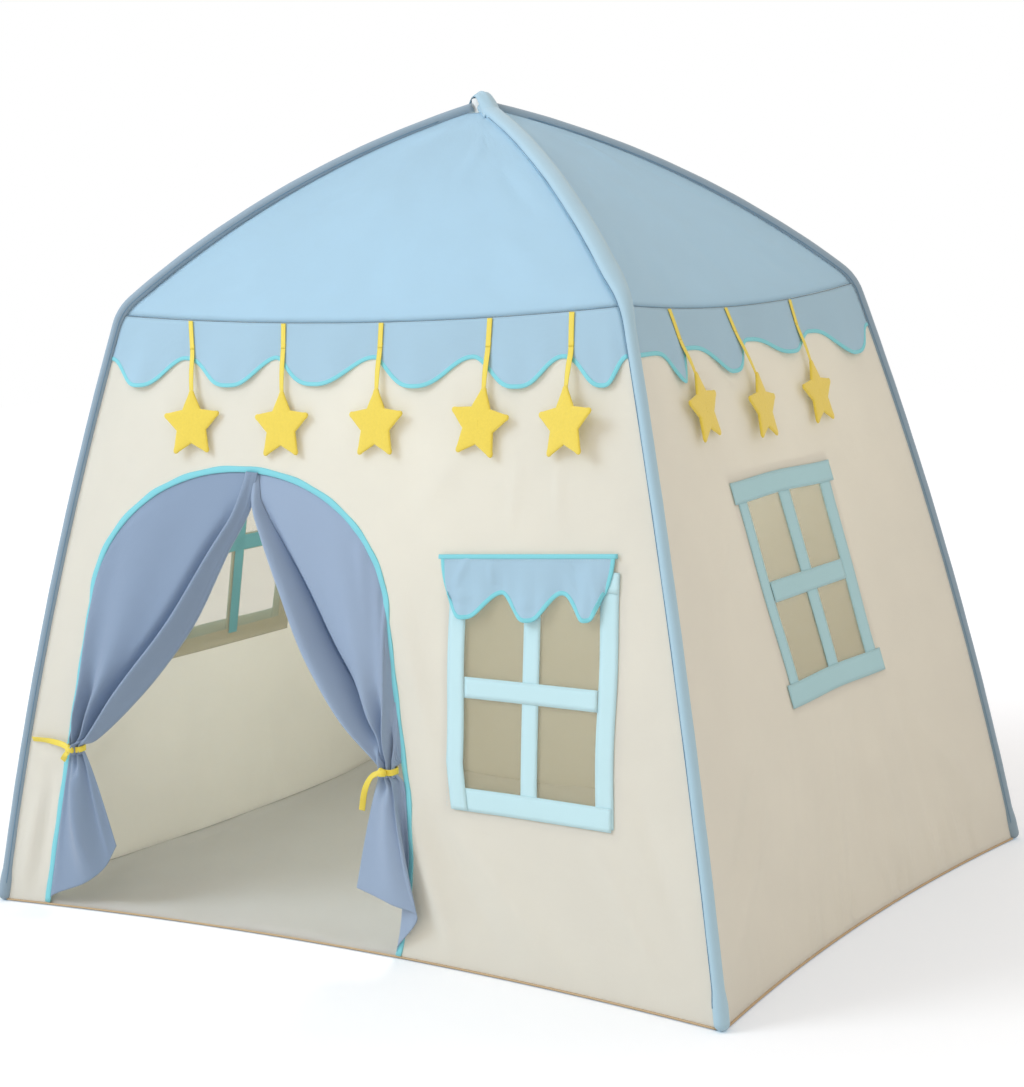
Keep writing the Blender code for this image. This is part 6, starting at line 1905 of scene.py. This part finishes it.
WORLD_LIGHT = (0.845, 0.775, 0.710, 1.0)
WORLD_WHITE = (1.0, 1.0, 1.0, 1.0)
KEY_DIRECTION = Vector((-0.62, -0.70, 0.66))
KEY_DISTANCE = 5.0
KEY_AIM = Vector((0.0, 0.0, 0.6))
KEY_SIZE = 2.6
KEY_POWER = 96.0
KEY_COLOUR = (0.82, 1.0, 1.18)
GLOW_PLACE = (0.06, 0.03, 0.70)
GLOW_RADIUS = 0.16
GLOW_POWER = 7.2
GLOW_COLOUR = (1.0, 0.95, 0.87)


def lamp(name, kind, settings, place):
    """A lamp at a place."""
    data = bpy.data.lights.new(name, kind)
    for key, value in settings.items():
        setattr(data, key, value)
    made = placed(name, data)
    made.location = place
    return made


def lights():
    """A plain white room, one large soft lamp in front on the left and a soft one inside the tent."""
    world = bpy.data.worlds.new("studio")
    bpy.context.scene.world = world
    nodes = Nodes(world)
    light = nodes.mixed(seen_share(nodes), WORLD_LIGHT, WORLD_WHITE)
    nodes.fill(nodes.shader, {"Color": light, "Strength": 1.0})
    key = lamp("key", 'AREA', {"shape": 'DISK', "size": KEY_SIZE, "energy": KEY_POWER, "color": KEY_COLOUR},
               KEY_AIM + KEY_DIRECTION.normalized() * KEY_DISTANCE)
    key.rotation_euler = KEY_DIRECTION.to_track_quat('Z', 'Y').to_euler()
    lamp("inside", 'POINT', {"shadow_soft_size": GLOW_RADIUS, "energy": GLOW_POWER, "color": GLOW_COLOUR},
         GLOW_PLACE)


def camera():
    """The photograph's view."""
    data = bpy.data.cameras.new("camera")
    data.sensor_width = SENSOR
    data.lens = FOCAL_PIXELS / max(IMAGE_SIZE) * SENSOR
    made = placed("camera", data)
    turn = (Matrix.Rotation(CAMERA_YAW, 3, 'Z') @ Matrix.Rotation(CAMERA_PITCH, 3, 'X')
            @ Matrix.Rotation(CAMERA_ROLL, 3, 'Z'))
    made.matrix_world = Matrix.Translation(Vector(CAMERA_PLACE)) @ turn.to_4x4()
    bpy.context.scene.camera = made


# Each star: the share where its ribbon is sewn in, its place to the side, its height, twist and roll
STARS = {
    "front": ((-0.690, -0.2875, 0.7554, 0.09, 0.06), (-0.288, -0.1192, 0.7543, -0.02, 0.04),
              (0.109, 0.0556, 0.7594, -0.06, 0.02), (0.527, 0.2340, 0.7621, -0.04, -0.12),
              (0.831, 0.3797, 0.7654, -0.22, 0.05)),
    "right": ((-0.700, -0.2190, 0.771, 0.08, 0.10), (-0.220, -0.0448, 0.757, 0.12, -0.02),
              (0.360, 0.1350, 0.762, 0.05, 0.03)),
    "left": ((-0.620, -0.212, 0.757, 0.06, 0.03), (-0.090, -0.031, 0.757, -0.05, -0.02),
             (0.460, 0.157, 0.757, 0.04, 0.04)),
}


def dress():
    """All the pieces of the tent."""
    camera()
    for side_name in FACES:
        wall_piece(side_name)
        roof_piece(side_name)
    floor_piece()
    for corner in CORNERS:
        sleeve_piece(corner)
    crown_cover_piece()
    for side_name in FACES:
        eave_valance(side_name)
    for side_name, stars in STARS.items():
        for index, star in enumerate(stars):
            star_piece(f"{side_name}_star_{index + 1}", side_name, *star)
    for side_name in WINDOWS:
        window_pieces(side_name)
    window_valance_piece()
    door_binding_piece()
    # The left curtain and its tail take the curtain cloth painted darker, as painted shade; the right ones
    # take the plain cloth
    curtain_piece("left_curtain", "curtain_painted_shade", LEFT_TIE, LEFT_FREE_EDGE, LEFT_CUFFS, LEFT_PLEATS,
                  LEFT_PARTING_LAYER, *LEFT_CUFF_FORM)
    curtain_piece("right_curtain", "curtain", RIGHT_TIE, RIGHT_FREE_EDGE, RIGHT_CUFFS, RIGHT_PLEATS,
                  RIGHT_PARTING_LAYER, *RIGHT_CUFF_FORM)
    tail_piece("left_curtain_tail", LEFT_TIE, LEFT_HEM, 0.0012, -math.inf, LEFT_TAIL_FOLDS,
               "curtain_painted_shade")
    tail_piece("right_curtain_tail", RIGHT_TIE, RIGHT_HEM, -0.0005, 0.0032, RIGHT_TAIL_FOLDS,
               "curtain")
    tie_piece("left_curtain_tie", LEFT_TIE, ((0.092, LEFT_LONG_END), (0.028, LEFT_SHORT_END)))
    tie_piece("right_curtain_tie", RIGHT_TIE, ((0.047, RIGHT_END),))
    for name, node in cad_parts.items():
        if name.startswith(("leg_", "roof_pole")):
            node.data.materials[0] = MATERIALS["pole"]
        if name.startswith("eave_elbow") or name == "crown_hub":
            node.data.materials[0] = MATERIALS["plastic"]


dress()
stage()
lights()
bpy.context.scene.view_settings.view_transform = 'Standard'
